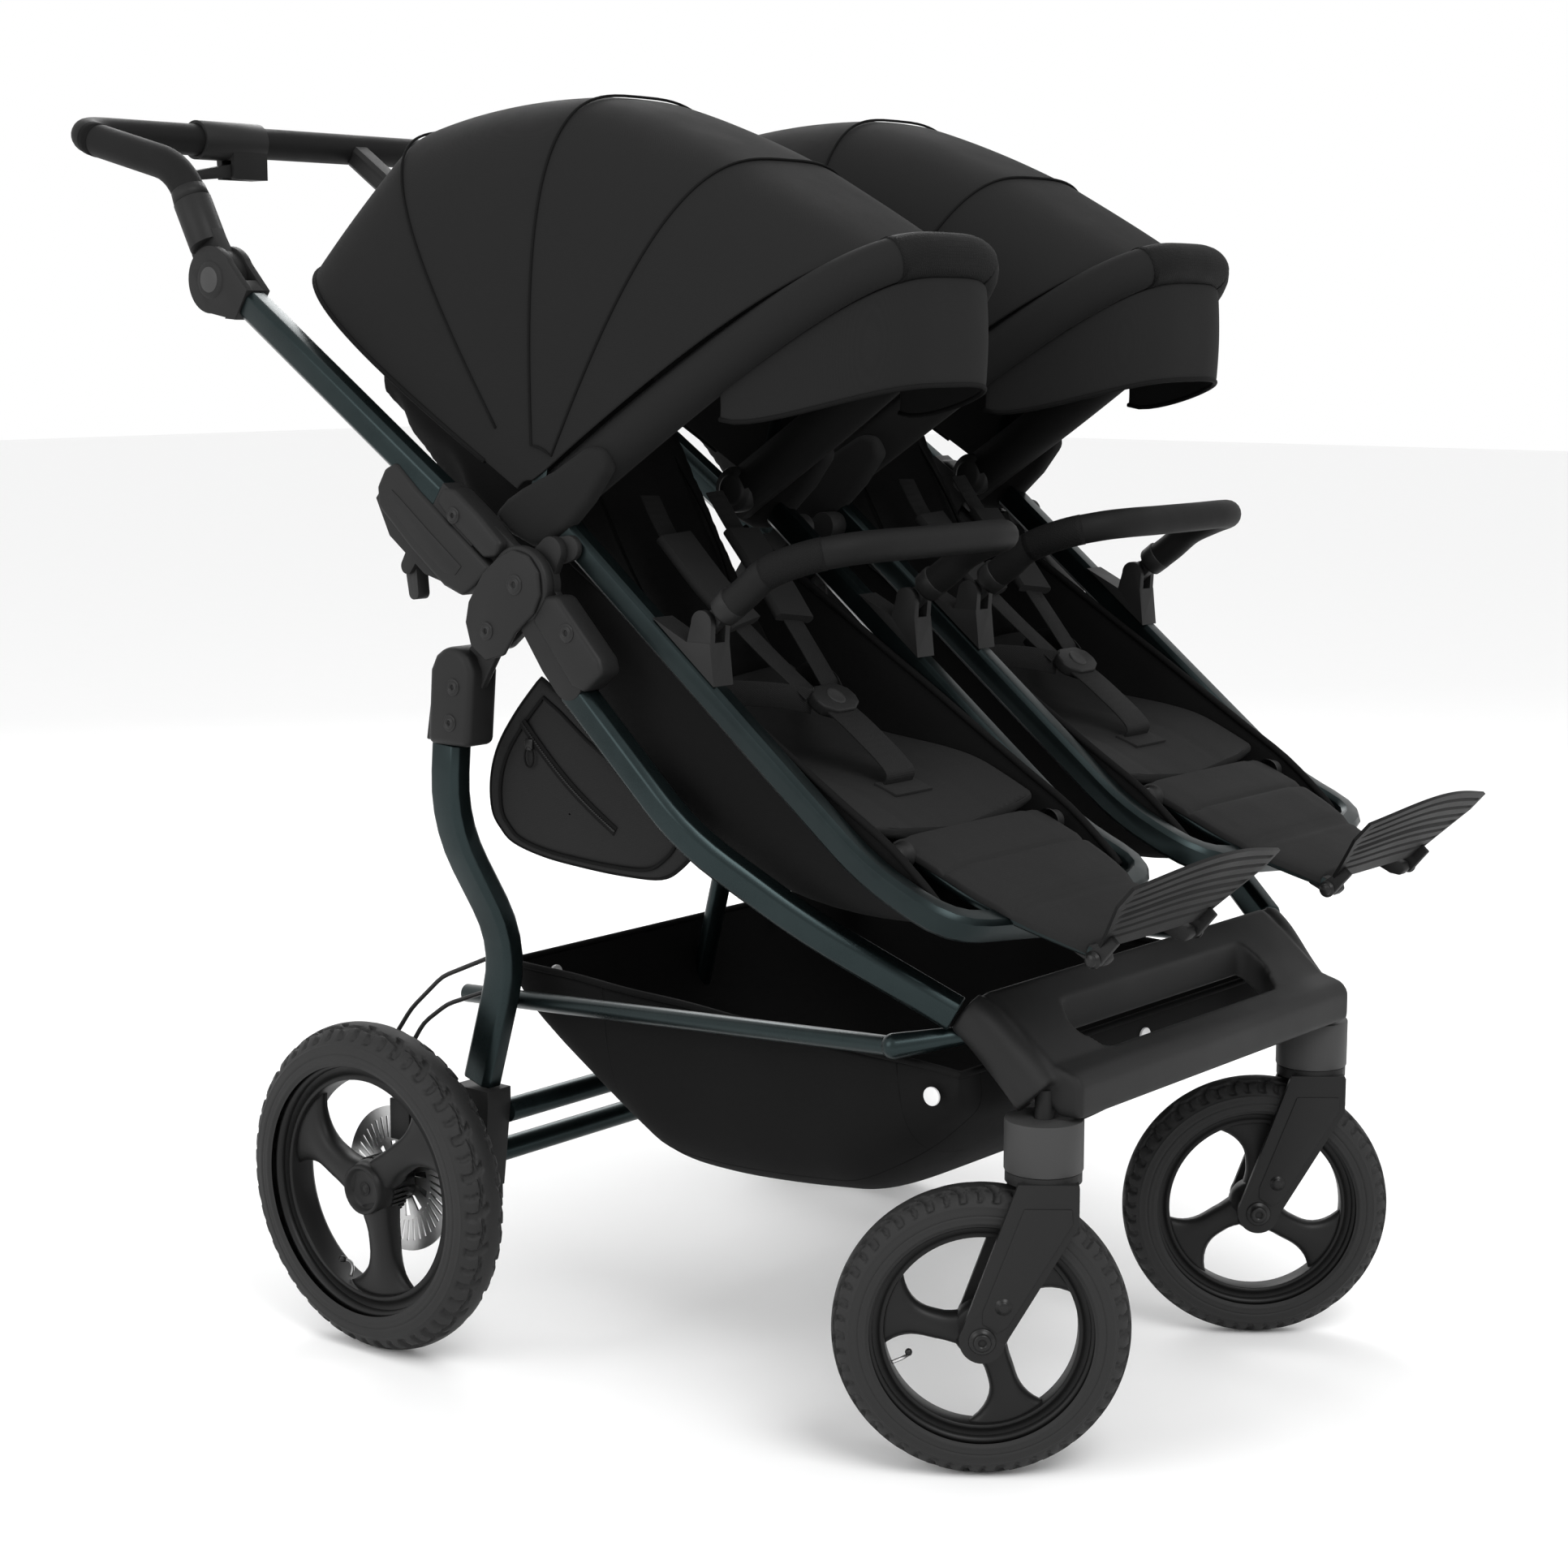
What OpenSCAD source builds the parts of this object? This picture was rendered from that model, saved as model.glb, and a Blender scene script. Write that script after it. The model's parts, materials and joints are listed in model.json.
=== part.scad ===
// Side-by-side two-seat stroller with swivelling front wheels.
// X runs forward, Y to the child's left, Z up from the floor. Sizes are in millimetres.

/* [Wheels] */
// Radius of a rear wheel
rear_r = 155.5; // [130:0.5:186.5]
// Half width of a rear tyre
rear_half = 27; // [22:1:32]
// Radius of a front wheel
front_r = 125; // [104:1:150]
// Half width of a front tyre
front_half = 23; // [19:1:27]
// Distance from the swivel axis back to the front axle
trail = 50; // [40:1:60]
// Angle the front wheels are turned to at rest
swivel_a = 37; // [-180:1:180]

/* [Frame] */
// Height of the side hubs' pivots
hub_h = 729; // [700:1:760]
// Distance of the hub pivots in front of the rear axle
hub_x = 205; // [190:1:220]
// Length of a push tube from the hub pivot to the handle's tilt joint
push_len = 469; // [391:1:562]
// Angle of the push tubes above the horizontal
push_a = 34; // [30:1:38]
// Depth of the frame tubes
tube_d = 28; // [23:1:33]
// Width of the frame tubes
tube_w = 24; // [20:1:24]
// Radius of the hub pivots
pin_r = 5; // [4:0.5:6]
// Distance from the rear axle to the swivel axes
castor_x = 654; // [620:1:690]
// Half of the distance between the swivel axes
castor_y = 224; // [200:1:240]
// Radius of the swivel collars
collar_r = 33; // [28:1:36]
// Height of a swivel collar
collar_h = 44; // [37:1:52]

/* [Handlebar] */
// Length of the handle from the tilt joint back to the bar
handle_back = 216; // [180:1:259]
// Rise of the handle from the tilt joint up to the bar
handle_up = 144; // [120:1:172]
// Radius of the foam grip
grip_r = 16; // [14:1:18]
// Radius of the tilt joints
tilt_r = 31; // [28:1:34]

/* [Seats] */
// Half width of a seat, to the middle of its rails
seat_half = 144; // [140:1:172]
// Half of the gap between the inner rails' middles
seat_gap = 45; // [45:1:54]
// Width of a seat rail
rail_w = 20; // [17:1:22]
// Depth of a seat rail
rail_d = 24; // [20:1:26]
// Width of the fabric hood's half
hood_half = 152; // [146:1:155]
// Radius of the hood's padded rim
rim_r = 20; // [17:1:22]
// Radius of the bumper bar's foam
bumper_r = 14; // [12:1:16]
// Length of the footplate
foot_len = 110; // [92:1:132]

/* [Basket] */
// Half width of the basket
basket_half = 264; // [220:1:266]
// Thickness of the basket's wall
basket_t = 4; // [3:0.5:6]

/* [Hidden] */
$fn = 48;

right = -1;
left = 1;
run = 0.06;                     // running clearance on a pin, in radius
gap = 0.3;                      // clearance between faces that pass or rest on each other

// Widths across the object, measured from the middle
seat_y = seat_gap + seat_half;              // middle of a seat
rail_out = seat_y + seat_half + rail_w / 2; // outer face of an outer rail
side_y = rail_out + 7 + tube_w / 2;         // middle of a side frame
cheek_in = side_y - tube_w / 2;
cheek_out = side_y + tube_w / 2;
cheek_t = 7.7;
tongue_in = cheek_in + cheek_t + gap;
tongue_out = cheek_out - cheek_t - gap;
wheel_y = side_y + 1.5;                     // middle of a rear wheel
leg_low_y = wheel_y - rear_half - 19 - tube_w / 2;

// Pivots in the side view, as [x, z]
hub = [hub_x, hub_h];
leg_pivot = hub + [-36, -39];
tilt = hub + push_len * [-cos(push_a), sin(push_a)];
bar = tilt + [-handle_back, handle_up];
hood_pivot = hub + [-7, 69];
recline = hub + [45, -104];
legrest_pivot = hub + [355, -205];
foot_hinge = hub + [521, -274];
bumper_pivot = hub + [181, -24];
foot_a = 48;
foot_t = 6;

housing_t = 3.5;                // wall of the brake lever's housing

// Middle of the object's length, where the origin lies
front_end = foot_hinge.x + foot_len * cos(foot_a) + foot_t / 2 * sin(foot_a);
rear_end = bar.x - grip_r - housing_t;
mid_x = (front_end + rear_end) / 2;

// Heights at the front
collar_z = 2 * front_r + 12;                // underside of the swivel collar
beam_z = collar_z + collar_h;               // underside of the beam's crowns
beam_rear = [590, beam_z + 94];             // rear top edge of the beam, in the side view

function xyz(p, y) = [p.x, y, p.y];
function unit(v) = v / norm(v);
function bend(a, b, c, t) = (1 - t) * (1 - t) * a + 2 * t * (1 - t) * b + t * t * c;
function corner(a, b, c, d, n) =
    [for (i = [0:n]) bend(b + d * unit(a - b), b, b + d * unit(c - b), i / n)];
function rounded(p, d, n = 4) = let (m = len(p) - 1)
    [p[0], for (i = [1:m - 1]) each corner(p[i - 1], p[i], p[i + 1], d, n), p[m]];
function round_section(r, n = 16) = [for (i = [0:n - 1]) r * [cos(360 * i / n), sin(360 * i / n)]];
function tube_section(a, b, c) = [
    [a, b - c], [a - c, b], [c - a, b], [-a, b - c], [-a, c - b], [c - a, -b], [a - c, -b], [a, c - b]
];

// One closed tube along a path; side is the direction of the section's first axis.
module sweep(path, section, side = [0, 1, 0]) {
    n = len(path);
    m = len(section);
    function along(i) = unit(i == 0 ? path[1] - path[0] :
        i == n - 1 ? path[i] - path[i - 1] : unit(path[i + 1] - path[i]) + unit(path[i] - path[i - 1]));
    function ring(i) = let (t = along(i), u = unit(side - (side * t) * t), v = cross(t, u))
        [for (q = section) path[i] + q.x * u + q.y * v];
    polyhedron(
        [for (i = [0:n - 1]) each ring(i)],
        [
            [for (j = [0:m - 1]) j],
            [for (j = [m - 1:-1:0]) (n - 1) * m + j],
            for (i = [0:n - 2], j = [0:m - 1])
                [i * m + j, (i + 1) * m + j, (i + 1) * m + (j + 1) % m, i * m + (j + 1) % m]
        ]
    );
}

// A grid of points closed into a thin shell: outer and inner are lists of rows.
module shell(outer, inner) {
    n = len(outer);
    m = len(outer[0]);
    k = n * m;
    function o(i, j) = i * m + j;
    function w(i, j) = k + i * m + j;
    polyhedron(
        concat([for (row = outer) each row], [for (row = inner) each row]),
        [
            for (i = [0:n - 2], j = [0:m - 2]) each [
                [o(i, j), o(i + 1, j), o(i + 1, j + 1)], [o(i, j), o(i + 1, j + 1), o(i, j + 1)],
                [w(i, j), w(i + 1, j + 1), w(i + 1, j)], [w(i, j), w(i, j + 1), w(i + 1, j + 1)]
            ],
            for (j = [0:m - 2]) each [
                [o(0, j), o(0, j + 1), w(0, j + 1)], [o(0, j), w(0, j + 1), w(0, j)],
                [o(n - 1, j + 1), o(n - 1, j), w(n - 1, j)],
                [o(n - 1, j + 1), w(n - 1, j), w(n - 1, j + 1)]
            ],
            for (i = [0:n - 2]) each [
                [o(i + 1, 0), o(i, 0), w(i, 0)], [o(i + 1, 0), w(i, 0), w(i + 1, 0)],
                [o(i, m - 1), o(i + 1, m - 1), w(i + 1, m - 1)],
                [o(i, m - 1), w(i + 1, m - 1), w(i, m - 1)]
            ]
        ]
    );
}

// A half path and its mirror image, joined at the middle
function whole(p) = concat(p, [for (i = [len(p) - 2:-1:0]) [p[i].x, -p[i].y, p[i].z]]);

module on_mid() translate([-mid_x, 0, 0]) children();
module on_side(s) mirror([0, s > 0 ? 0 : 1, 0]) children();
module both() for (s = [right, left]) on_side(s) children();
// Stands a drawing made in the side view up between two distances from the middle.
module slab(y0, y1) translate([0, y1, 0]) rotate([90, 0, 0]) linear_extrude(y1 - y0) children();
module rod(p, y0, y1, r) slab(y0, y1) translate(p) circle(r);
module on_seat(s) translate([0, s * seat_y, 0]) children();
// Two circles and their common tangents
module link(a, ra, b, rb) {
    d = unit(b - a);
    k = (ra - rb) / norm(b - a);
    n = sqrt(1 - k * k) * [-d.y, d.x];
    translate(a) circle(ra);
    translate(b) circle(rb);
    polygon([a + ra * (k * d + n), b + rb * (k * d + n), b + rb * (k * d - n), a + ra * (k * d - n)]);
}

// ---------------------------------------------------------------- frame

side_path = concat(
    rounded([
        xyz(hub + [56, -86], side_y), xyz(hub + [178, -202], side_y - 4),
        [474, side_y - 52, beam_rear.y + 56], [beam_rear.x - 4, side_y - 108, beam_rear.y - 12]
    ], 40, 5)
);

module side_tubes() on_mid() color("#24302f")
    both() sweep(side_path, tube_section(tube_w / 2, tube_d / 2, 5));

beam_arm_y = side_y - 118;      // outer edge of the beam's rear arms
module front_beam() on_mid() color("#2a2a2b") difference() {
    union() {
        // Sloping panel between the crowns
        rotate([90, 0, 0]) translate([0, 0, -castor_y]) linear_extrude(2 * castor_y) polygon([
            beam_rear, beam_rear + [8, 4], [castor_x + 10, beam_z + 38], [castor_x + 37, beam_z + 28],
            [castor_x + 37, beam_z + 4], [castor_x + 12, beam_z + 4], beam_rear + [4, -22]
        ]);
        both() {
            translate([castor_x, castor_y, beam_z]) cylinder(r = collar_r + 1, h = 32);
            translate([castor_x, castor_y, beam_z + 32])
                cylinder(r1 = collar_r + 1, r2 = collar_r - 8, h = 9);
            hull() {
                translate([castor_x - 6, castor_y, beam_z + 20]) cylinder(r = 24, h = 18, $fn = 32);
                translate([beam_rear.x, side_y - 122, beam_rear.y - 18])
                    rotate([0, 90, 0]) cylinder(r = 19, h = 14, $fn = 32);
            }
        }
    }
    // Slot through the panel
    hull() for (s = [right, left])
        translate([628, s * 122, beam_z - 20]) cylinder(r = 16, h = 160, $fn = 32);
    // Sockets that the side tubes stand in
    both() translate([beam_rear.x - 30, side_y - 150, beam_rear.y - 60]) cube([23.5, 70, 90]);
    // Bores of the swivel pins
    both() translate([castor_x, castor_y, beam_z - 1]) cylinder(r = 8 + run, h = 30);
}

module castor_collars() on_mid() color("#5a5c5d")
    both() translate([castor_x, castor_y, collar_z + gap]) difference() {
        cylinder(r = collar_r, h = collar_h - gap);
        translate([0, 0, -1]) cylinder(r = 8 + run, h = collar_h + 2);
    }

module cheek(with_seat_tab) difference() {
    union() {
        link(hub, 27, leg_pivot, 20);
        link(hub + [6, -6], 20, hub + [44, -60], 19);
        link(hub + [44, -60], 19, hub + [58, -78], 17);
        if (with_seat_tab) link(hub, 20, hub + [24, 29], 13);
    }
    translate(hub) circle(pin_r);
    translate(leg_pivot) circle(pin_r);
}

module side_hubs() on_mid() color("#2e2f30") both() {
    slab(cheek_in, cheek_in + cheek_t) cheek(true);
    slab(cheek_out - cheek_t, cheek_out) cheek(false);
    // Web that joins the cheeks in front of the pivots and holds the side tube
    slab(cheek_in + cheek_t, cheek_out - cheek_t) polygon([
        hub + [41, -38], hub + [54, -66], hub + [44, -84], hub + [34, -78], hub + [16, -42]
    ]);
}

module centre_hub() on_mid() color("#2e2f30") both()
    slab(tube_w / 2 + 2, seat_gap - rail_w / 2 - gap) difference() {
        union() {
            link(hub, 27, leg_pivot, 20);
            link(hub, 20, hub + [26, 32], 13);
        }
        translate(hub) circle(pin_r);
        translate(leg_pivot) circle(pin_r);
    }

module hub_pins() on_mid() color("#8b8f92") {
    for (p = [hub, leg_pivot]) {
        both() rod(p, cheek_in, cheek_out + 2, pin_r);
        rod(p, rail_w / 2 + gap - seat_gap, seat_gap - rail_w / 2 - gap, pin_r);
    }
}

module seat_mounts() on_mid() color("#242425") both()
    slab(rail_out + gap, cheek_in - gap) link(hub + [24, 29], 12, hub + [38, 32], 11);

// ---------------------------------------------------------------- push frame and handle

push_dir = [-cos(push_a), sin(push_a)];
push_up = [sin(push_a), cos(push_a)];
function push_at(d, u = 0) = hub + d * push_dir + u * push_up;

// Handle-side direction that the sleeves leave the tilt joints in
sleeve_dir = [-0.47, 0.883];
sleeve_up = [0.883, 0.47];
cheek_gap = 7;                  // from a tilt joint's middle to its cheeks
sleeve_end = tilt + 82 * sleeve_dir;

module push_tubes() on_mid() color("#24302f") both()
    sweep([xyz(push_at(120.3, 5), side_y), xyz(push_at(push_len - 48.3, 5), side_y)],
        tube_section(tube_w / 2, tube_d / 2, 5));

module tilt_cheek() {
    circle(tilt_r);
    polygon([for (q = [[-48, 20], [-12, 28], [-12, -28], [-48, -12]])
        q.x * push_dir + q.y * push_up]);
}

module push_sockets() on_mid() color("#2e2f30") both() {
    // Tongue between the hub's cheeks
    slab(tongue_in, tongue_out) difference() {
        union() {
            translate(hub) circle(26);
            polygon([push_at(0, 22), push_at(70, 22), push_at(70, -18), push_at(0, -24)]);
        }
        translate(hub) circle(pin_r + run);
    }
    // Socket over the end of the tube, with the cover plate under it
    slab(cheek_in, cheek_out) polygon([
        push_at(62, 21), push_at(120, 21), push_at(120, -9.4), push_at(178, -9.4),
        push_at(182, -40), push_at(150, -58), push_at(96, -60), push_at(62, -48)
    ]);
    // Ears and pin of the fold lever
    for (y = [cheek_in, cheek_out - 4.7]) slab(y, y + 4.7) {
        translate(lever_pivot) circle(7);
        polygon([push_at(110, -55), push_at(126, -55), lever_pivot + 7 * push_dir,
            lever_pivot - 7 * push_dir]);
    }
    rod(lever_pivot, cheek_in, cheek_out, lever_pin);
    // Fork of the tilt joint
    difference() {
        union() {
            slab(side_y - 14, side_y - cheek_gap) translate(tilt) tilt_cheek();
            slab(side_y + cheek_gap, side_y + 14) translate(tilt) tilt_cheek();
            slab(side_y - 12, side_y + 12) translate(tilt)
                polygon([for (q = [[-48, 20], [-34, 22], [-34, -20], [-48, -12]])
                    q.x * push_dir + q.y * push_up]);
            rod(tilt, side_y - 14, side_y + 6, 9);
        }
        rod(tilt, side_y + cheek_gap - 0.5, side_y + 20, 12 + run);
    }
}

module centre_strut() on_mid() color("#24302f") difference() {
    union() {
        slab(-tube_w / 2, tube_w / 2) translate(hub) circle(24);
        sweep([xyz(push_at(14), 0), xyz(push_at(push_len - 34), 0)],
            tube_section(tube_w / 2, tube_d / 2, 5));
        both() slab(cheek_gap, tube_w / 2) link(tilt, 14, push_at(push_len - 36), 14);
        rod(tilt, -tube_w / 2, tube_w / 2, pin_r);
    }
    rod(hub, -30, 30, pin_r + run);
}

lever_pivot = push_at(118, -68);
lever_pin = 2.5;
module fold_levers() on_mid() color("#202021") both()
    slab(cheek_in + 5, cheek_out - 5) difference() {
        link(lever_pivot, 7, lever_pivot - 16 * push_dir - 18 * push_up, 6);
        translate(lever_pivot) circle(lever_pin + run);
    }

grip_points = [xyz(sleeve_end + gap * sleeve_dir, side_y), xyz(tilt + 118 * sleeve_dir, side_y),
    xyz(bar, side_y), xyz(bar, 0)];
grip_path = [
    grip_points[0], each corner(grip_points[0], grip_points[1], grip_points[2], 30, 5),
    each corner(grip_points[1], grip_points[2], grip_points[3], 44, 6), grip_points[3]
];
module handlebar() on_mid() color("#1c1c1d")
    sweep(whole(grip_path), round_section(grip_r), [1, 0, 0]);

module handle_sleeves() on_mid() color("#2e2f30") both() difference() {
    union() {
        slab(side_y - cheek_gap + gap, side_y + cheek_gap - gap) {
            translate(tilt) circle(tilt_r - 3);
            polygon([for (q = [[0, 22], [44, 18], [44, -18], [0, -22]])
                tilt + q.x * sleeve_dir + q.y * sleeve_up]);
        }
        translate(xyz(tilt + 36 * sleeve_dir, side_y))
            rotate([0, atan(sleeve_dir.x / sleeve_dir.y), 0]) cylinder(r = grip_r + 2, h = 46);
    }
    rod(tilt, 0, side_y + 40, 9 + run);
}

strut_dir = unit(bar - tilt);
module strut_top() on_mid() color("#24302f") difference() {
    union() {
        slab(gap - cheek_gap, cheek_gap - gap) link(tilt, 13, tilt + 34 * strut_dir, 13);
        sweep([xyz(tilt + 26 * strut_dir, 0), xyz(bar - 4 * strut_dir, 0)],
            tube_section(tube_w / 2, 11, 4));
    }
    rod(tilt, -30, 30, pin_r + run);
    rod(bar, -30, 30, grip_r + gap);
}

lever_y = 170;                  // middle of the brake lever's housing, on the child's right
lever_top = [10, -grip_r - 12]; // lever's pivot, seen from the housing's middle
module brake_housing() on_mid() color("#26272a") translate([bar.x, -lever_y, bar.y]) {
    difference() {
        union() {
            rod([0, 0], -40, 40, grip_r + housing_t);
            slab(-4, 40) polygon([[-12, -8], [16, -8], [16, -38], [-10, -38]]);
        }
        rod([0, 0], -60, 60, grip_r);
        // Pocket for the lever's end
        translate([-3, -5, -40]) cube([14, 24, 21]);
    }
    translate([-6, lever_top.x, lever_top.y]) rotate([0, 90, 0]) cylinder(r = 2, h = 20);
}

module brake_lever() on_mid() color("#1d1d1f") translate([bar.x, -lever_y, bar.y]) difference() {
    hull() {
        translate([-2.6, lever_top.x, lever_top.y]) rotate([0, 90, 0])
            cylinder(r = 7, h = 13.2, $fn = 32);
        translate([-1, lever_top.x - 72, lever_top.y - 10]) rotate([0, 90, 0])
            cylinder(r = 4, h = 10, $fn = 32);
    }
    translate([-20, lever_top.x, lever_top.y]) rotate([0, 90, 0]) cylinder(r = 2 + run, h = 60);
}

module tilt_button(s) on_mid() color("#6d6f71") on_side(s) rod(tilt, side_y + 11, side_y + 16, 12);
module tilt_button_right() tilt_button(right);
module tilt_button_left() tilt_button(left);

// ---------------------------------------------------------------- rear frame

cap_top = leg_pivot + [-45, -34];
leg_section = tube_section(tube_w / 2, 17, 5);
leg_foot = [84, rear_r + 104];              // bottom of the leg tube in the side view
leg_path = rounded([
    xyz(cap_top + [-14, -72.5], side_y), xyz([104, 512], side_y), xyz([124, 392], leg_low_y),
    xyz(leg_foot, leg_low_y)
], 46, 5);

module rear_legs() on_mid() color("#24302f") both() sweep(leg_path, leg_section);

module leg_caps() on_mid() color("#2e2f30") both() {
    // Tongue up to the pivot between the hub's cheeks
    slab(tongue_in, tongue_out) difference() {
        union() {
            translate(leg_pivot) circle(18);
            polygon([leg_pivot + [0, 18], leg_pivot + [18, 0], cap_top + [22, -30],
                cap_top + [-14, -20]]);
        }
        translate(leg_pivot) circle(pin_r + run);
    }
    slab(cheek_in - 1, cheek_out + 1) polygon([
        cap_top + [-22, -8], cap_top + [-12, 6], cap_top + [6, 6], cap_top + [19, -6],
        cap_top + [6, -70], cap_top + [-33, -70]
    ]);
}

module rear_feet() on_mid() color("#2a2a2b") both() {
    hull() {
        translate([60, leg_low_y - 15, leg_foot.y - 19]) cube([46, 30, 13.7]);
        translate([70, leg_low_y - 13, rear_r + 4]) cube([28, 26, 10]);
    }
    hull() {
        rod([0, rear_r], leg_low_y - 13, leg_low_y + 13, 20);
        translate([70, leg_low_y - 13, rear_r - 10]) cube([26, 26, 44]);
    }
    rod([0, rear_r], leg_low_y, wheel_y + 14, 6);
}

cross_up = [100, rear_r + 74];
cross_low = [60, rear_r + 22];
module rear_cross_tubes() on_mid() color("#24302f") {
    rod(cross_up, -leg_low_y + 15, leg_low_y - 15, 11);
    rod(cross_low, -leg_low_y + 13 + gap, leg_low_y - 13 - gap, 11);
}

post_top = [132, 470];
module centre_post() on_mid() color("#24302f") difference() {
    union() {
        sweep([xyz(cross_low, 0), xyz(cross_low + [20, 92], 0), xyz(post_top, 0),
            xyz(leg_pivot, 0)], round_section(10));
        rod(leg_pivot, -tube_w / 2, tube_w / 2, 18);
        rod(cross_low, -18, 18, 17);
    }
    rod(leg_pivot, -30, 30, pin_r + run);
    rod(cross_low, -30, 30, 11);
}

disc_y = leg_low_y + 26;
module calipers() on_mid() color("#38393b") both() {
    slab(disc_y - 12, disc_y - 2.6) translate([-8, rear_r + 34]) square([34, 42]);
    slab(disc_y + 2.6, disc_y + 9) translate([-4, rear_r + 40]) square([26, 36]);
    slab(disc_y - 12, disc_y + 9) translate([-4, rear_r + 73.2]) square([26, 6]);
    // Arm out from the foot
    slab(leg_low_y - 10, disc_y - 2.6) polygon([
        [8, rear_r + 22.4], [26, rear_r + 25.9], [20, rear_r + 44], [0, rear_r + 40]
    ]);
}

// Two cables curve from the leg's inner side down to each caliper
cable_a = [[99, 0, 378], [40, 6, 352], [6, 14, 318], [-14, 22, 284], [-10, 25, 262], [2, 25, 235.6]];
cable_b = [[91, 0, 344], [44, 4, 326], [20, 12, 306], [8, 20, 280], [8, 25, 260], [12, 25, 235.6]];
module brake_cables() on_mid() color("#141415") both() for (c = [cable_a, cable_b])
    sweep(rounded([for (p = c) [p.x, leg_low_y + p.y, p.z + rear_r - 155.5]], 8, 2),
        round_section(2.2, 8));

// ---------------------------------------------------------------- wheels

module tyre(r, half, rim_at) rotate([90, 0, 0]) rotate_extrude($fn = 72) difference() {
    translate([r - half, 0]) circle(half, $fn = 32);
    translate([0, -half - 1]) square([rim_at, 2 * half + 2]);
}

module rim(r_out, r_in, w, hub_r, hub_a, hub_b, bore) {
    rotate([90, 0, 0]) difference() {
        union() {
            translate([0, 0, -w / 2]) cylinder(r = r_out, h = w);
            translate([0, 0, hub_a]) cylinder(r = hub_r, h = hub_b - hub_a);
        }
        difference() {
            translate([0, 0, -w]) cylinder(r = r_in, h = 2 * w);
            union() {
                translate([0, 0, hub_a]) cylinder(r = hub_r, h = hub_b - hub_a);
                for (i = [0:2]) rotate(120 * i + 70)
                    translate([0, 5 - hub_r, -7]) cube([r_in + 1, 2 * hub_r - 10, 14]);
            }
        }
        translate([0, 0, hub_a - 1]) cylinder(r = bore, h = hub_b - hub_a + 2);
    }
}

module at_rear(s) on_side(s) translate([0, wheel_y, rear_r]) children();
module rear_tyre(s) on_mid() color("#232324") at_rear(s) tyre(rear_r, rear_half, rear_r - 38);
module rear_rim(s) on_mid() color("#28282a") at_rear(s)
    rim(rear_r - 38, rear_r - 52, 34, 21, -20, wheel_y - disc_y - 1, 6 + run);
module rear_tyre_right() rear_tyre(right);
module rear_tyre_left() rear_tyre(left);
module rear_rim_right() rear_rim(right);
module rear_rim_left() rear_rim(left);
module brake_disc_right() brake_disc(right);
module brake_disc_left() brake_disc(left);
module brake_disc(s) on_mid() color("#b9bcbe") on_side(s) difference() {
    rod([0, rear_r], disc_y - 1, disc_y + 1, 70);
    rod([0, rear_r], disc_y - 5, disc_y + 5, 6 + run);
}

// A castor is drawn with its swivel axis at x = 0, y = 0 and its wheel behind it.
module at_castor(s) translate([castor_x, s * castor_y, 0]) rotate(swivel_a) children();
fork_in = front_half + 4;
fork_out = fork_in + 7;
module fork(s) on_mid() color("#2c2d2e") at_castor(s) {
    difference() {
        union() {
            translate([0, 0, collar_z - 9]) cylinder(r = collar_r - 1, h = 9);
            translate([-6, -fork_out, collar_z - 32]) cube([34, 2 * fork_out, 26]);
            translate([0, 0, collar_z - 2]) cylinder(r = 8, h = collar_h + 26);
            both() slab(fork_in, fork_out) polygon([
                [-22, collar_z - 4], [27, collar_z - 4], [28, collar_z - 38],
                [-trail + 19, front_r - 2], [-trail - 19, front_r + 2]
            ]);
            both() rod([-trail, front_r], fork_in, fork_out, 19);
        }
        // Room for the tyre
        rod([-trail, front_r], -fork_in + 0.1, fork_in - 0.1, front_r + 4, $fn = 72);
    }
    rod([-trail, front_r], -fork_out - 4, fork_out + 4, 5);
}
module fork_right() fork(right);
module fork_left() fork(left);
module at_front(s) at_castor(s) translate([-trail, 0, front_r]) children();
module front_tyre(s) on_mid() color("#232324") at_front(s)
    tyre(front_r, front_half, front_r - 32);
module front_rim(s) on_mid() color("#28282a") at_front(s)
    rim(front_r - 32, front_r - 44, 28, 17, -fork_in + 1, fork_in - 1, 5 + run);
module front_tyre_right() front_tyre(right);
module front_tyre_left() front_tyre(left);
module front_rim_right() front_rim(right);
module front_rim_left() front_rim(left);

// ---------------------------------------------------------------- basket and bag

rail_a = [44, 332];
rail_b = [548, 360];
rail_y = leg_low_y - tube_w / 2 - 10;
rail_slope = (rail_b.y - rail_a.y) / (rail_b.x - rail_a.x);
module basket_rails() on_mid() color("#24302f") both() {
    translate([rail_a.x, rail_y, rail_a.y]) rotate([0, 90 - atan(rail_slope), 0])
        cylinder(r = 8.5, h = norm(rail_b - rail_a));
    hull() {
        translate([rail_b.x - 4, rail_y, rail_b.y]) sphere(11, $fn = 24);
        translate([beam_rear.x + 8, side_y - 134, beam_rear.y - 30]) sphere(7, $fn = 24);
    }
}

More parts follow.
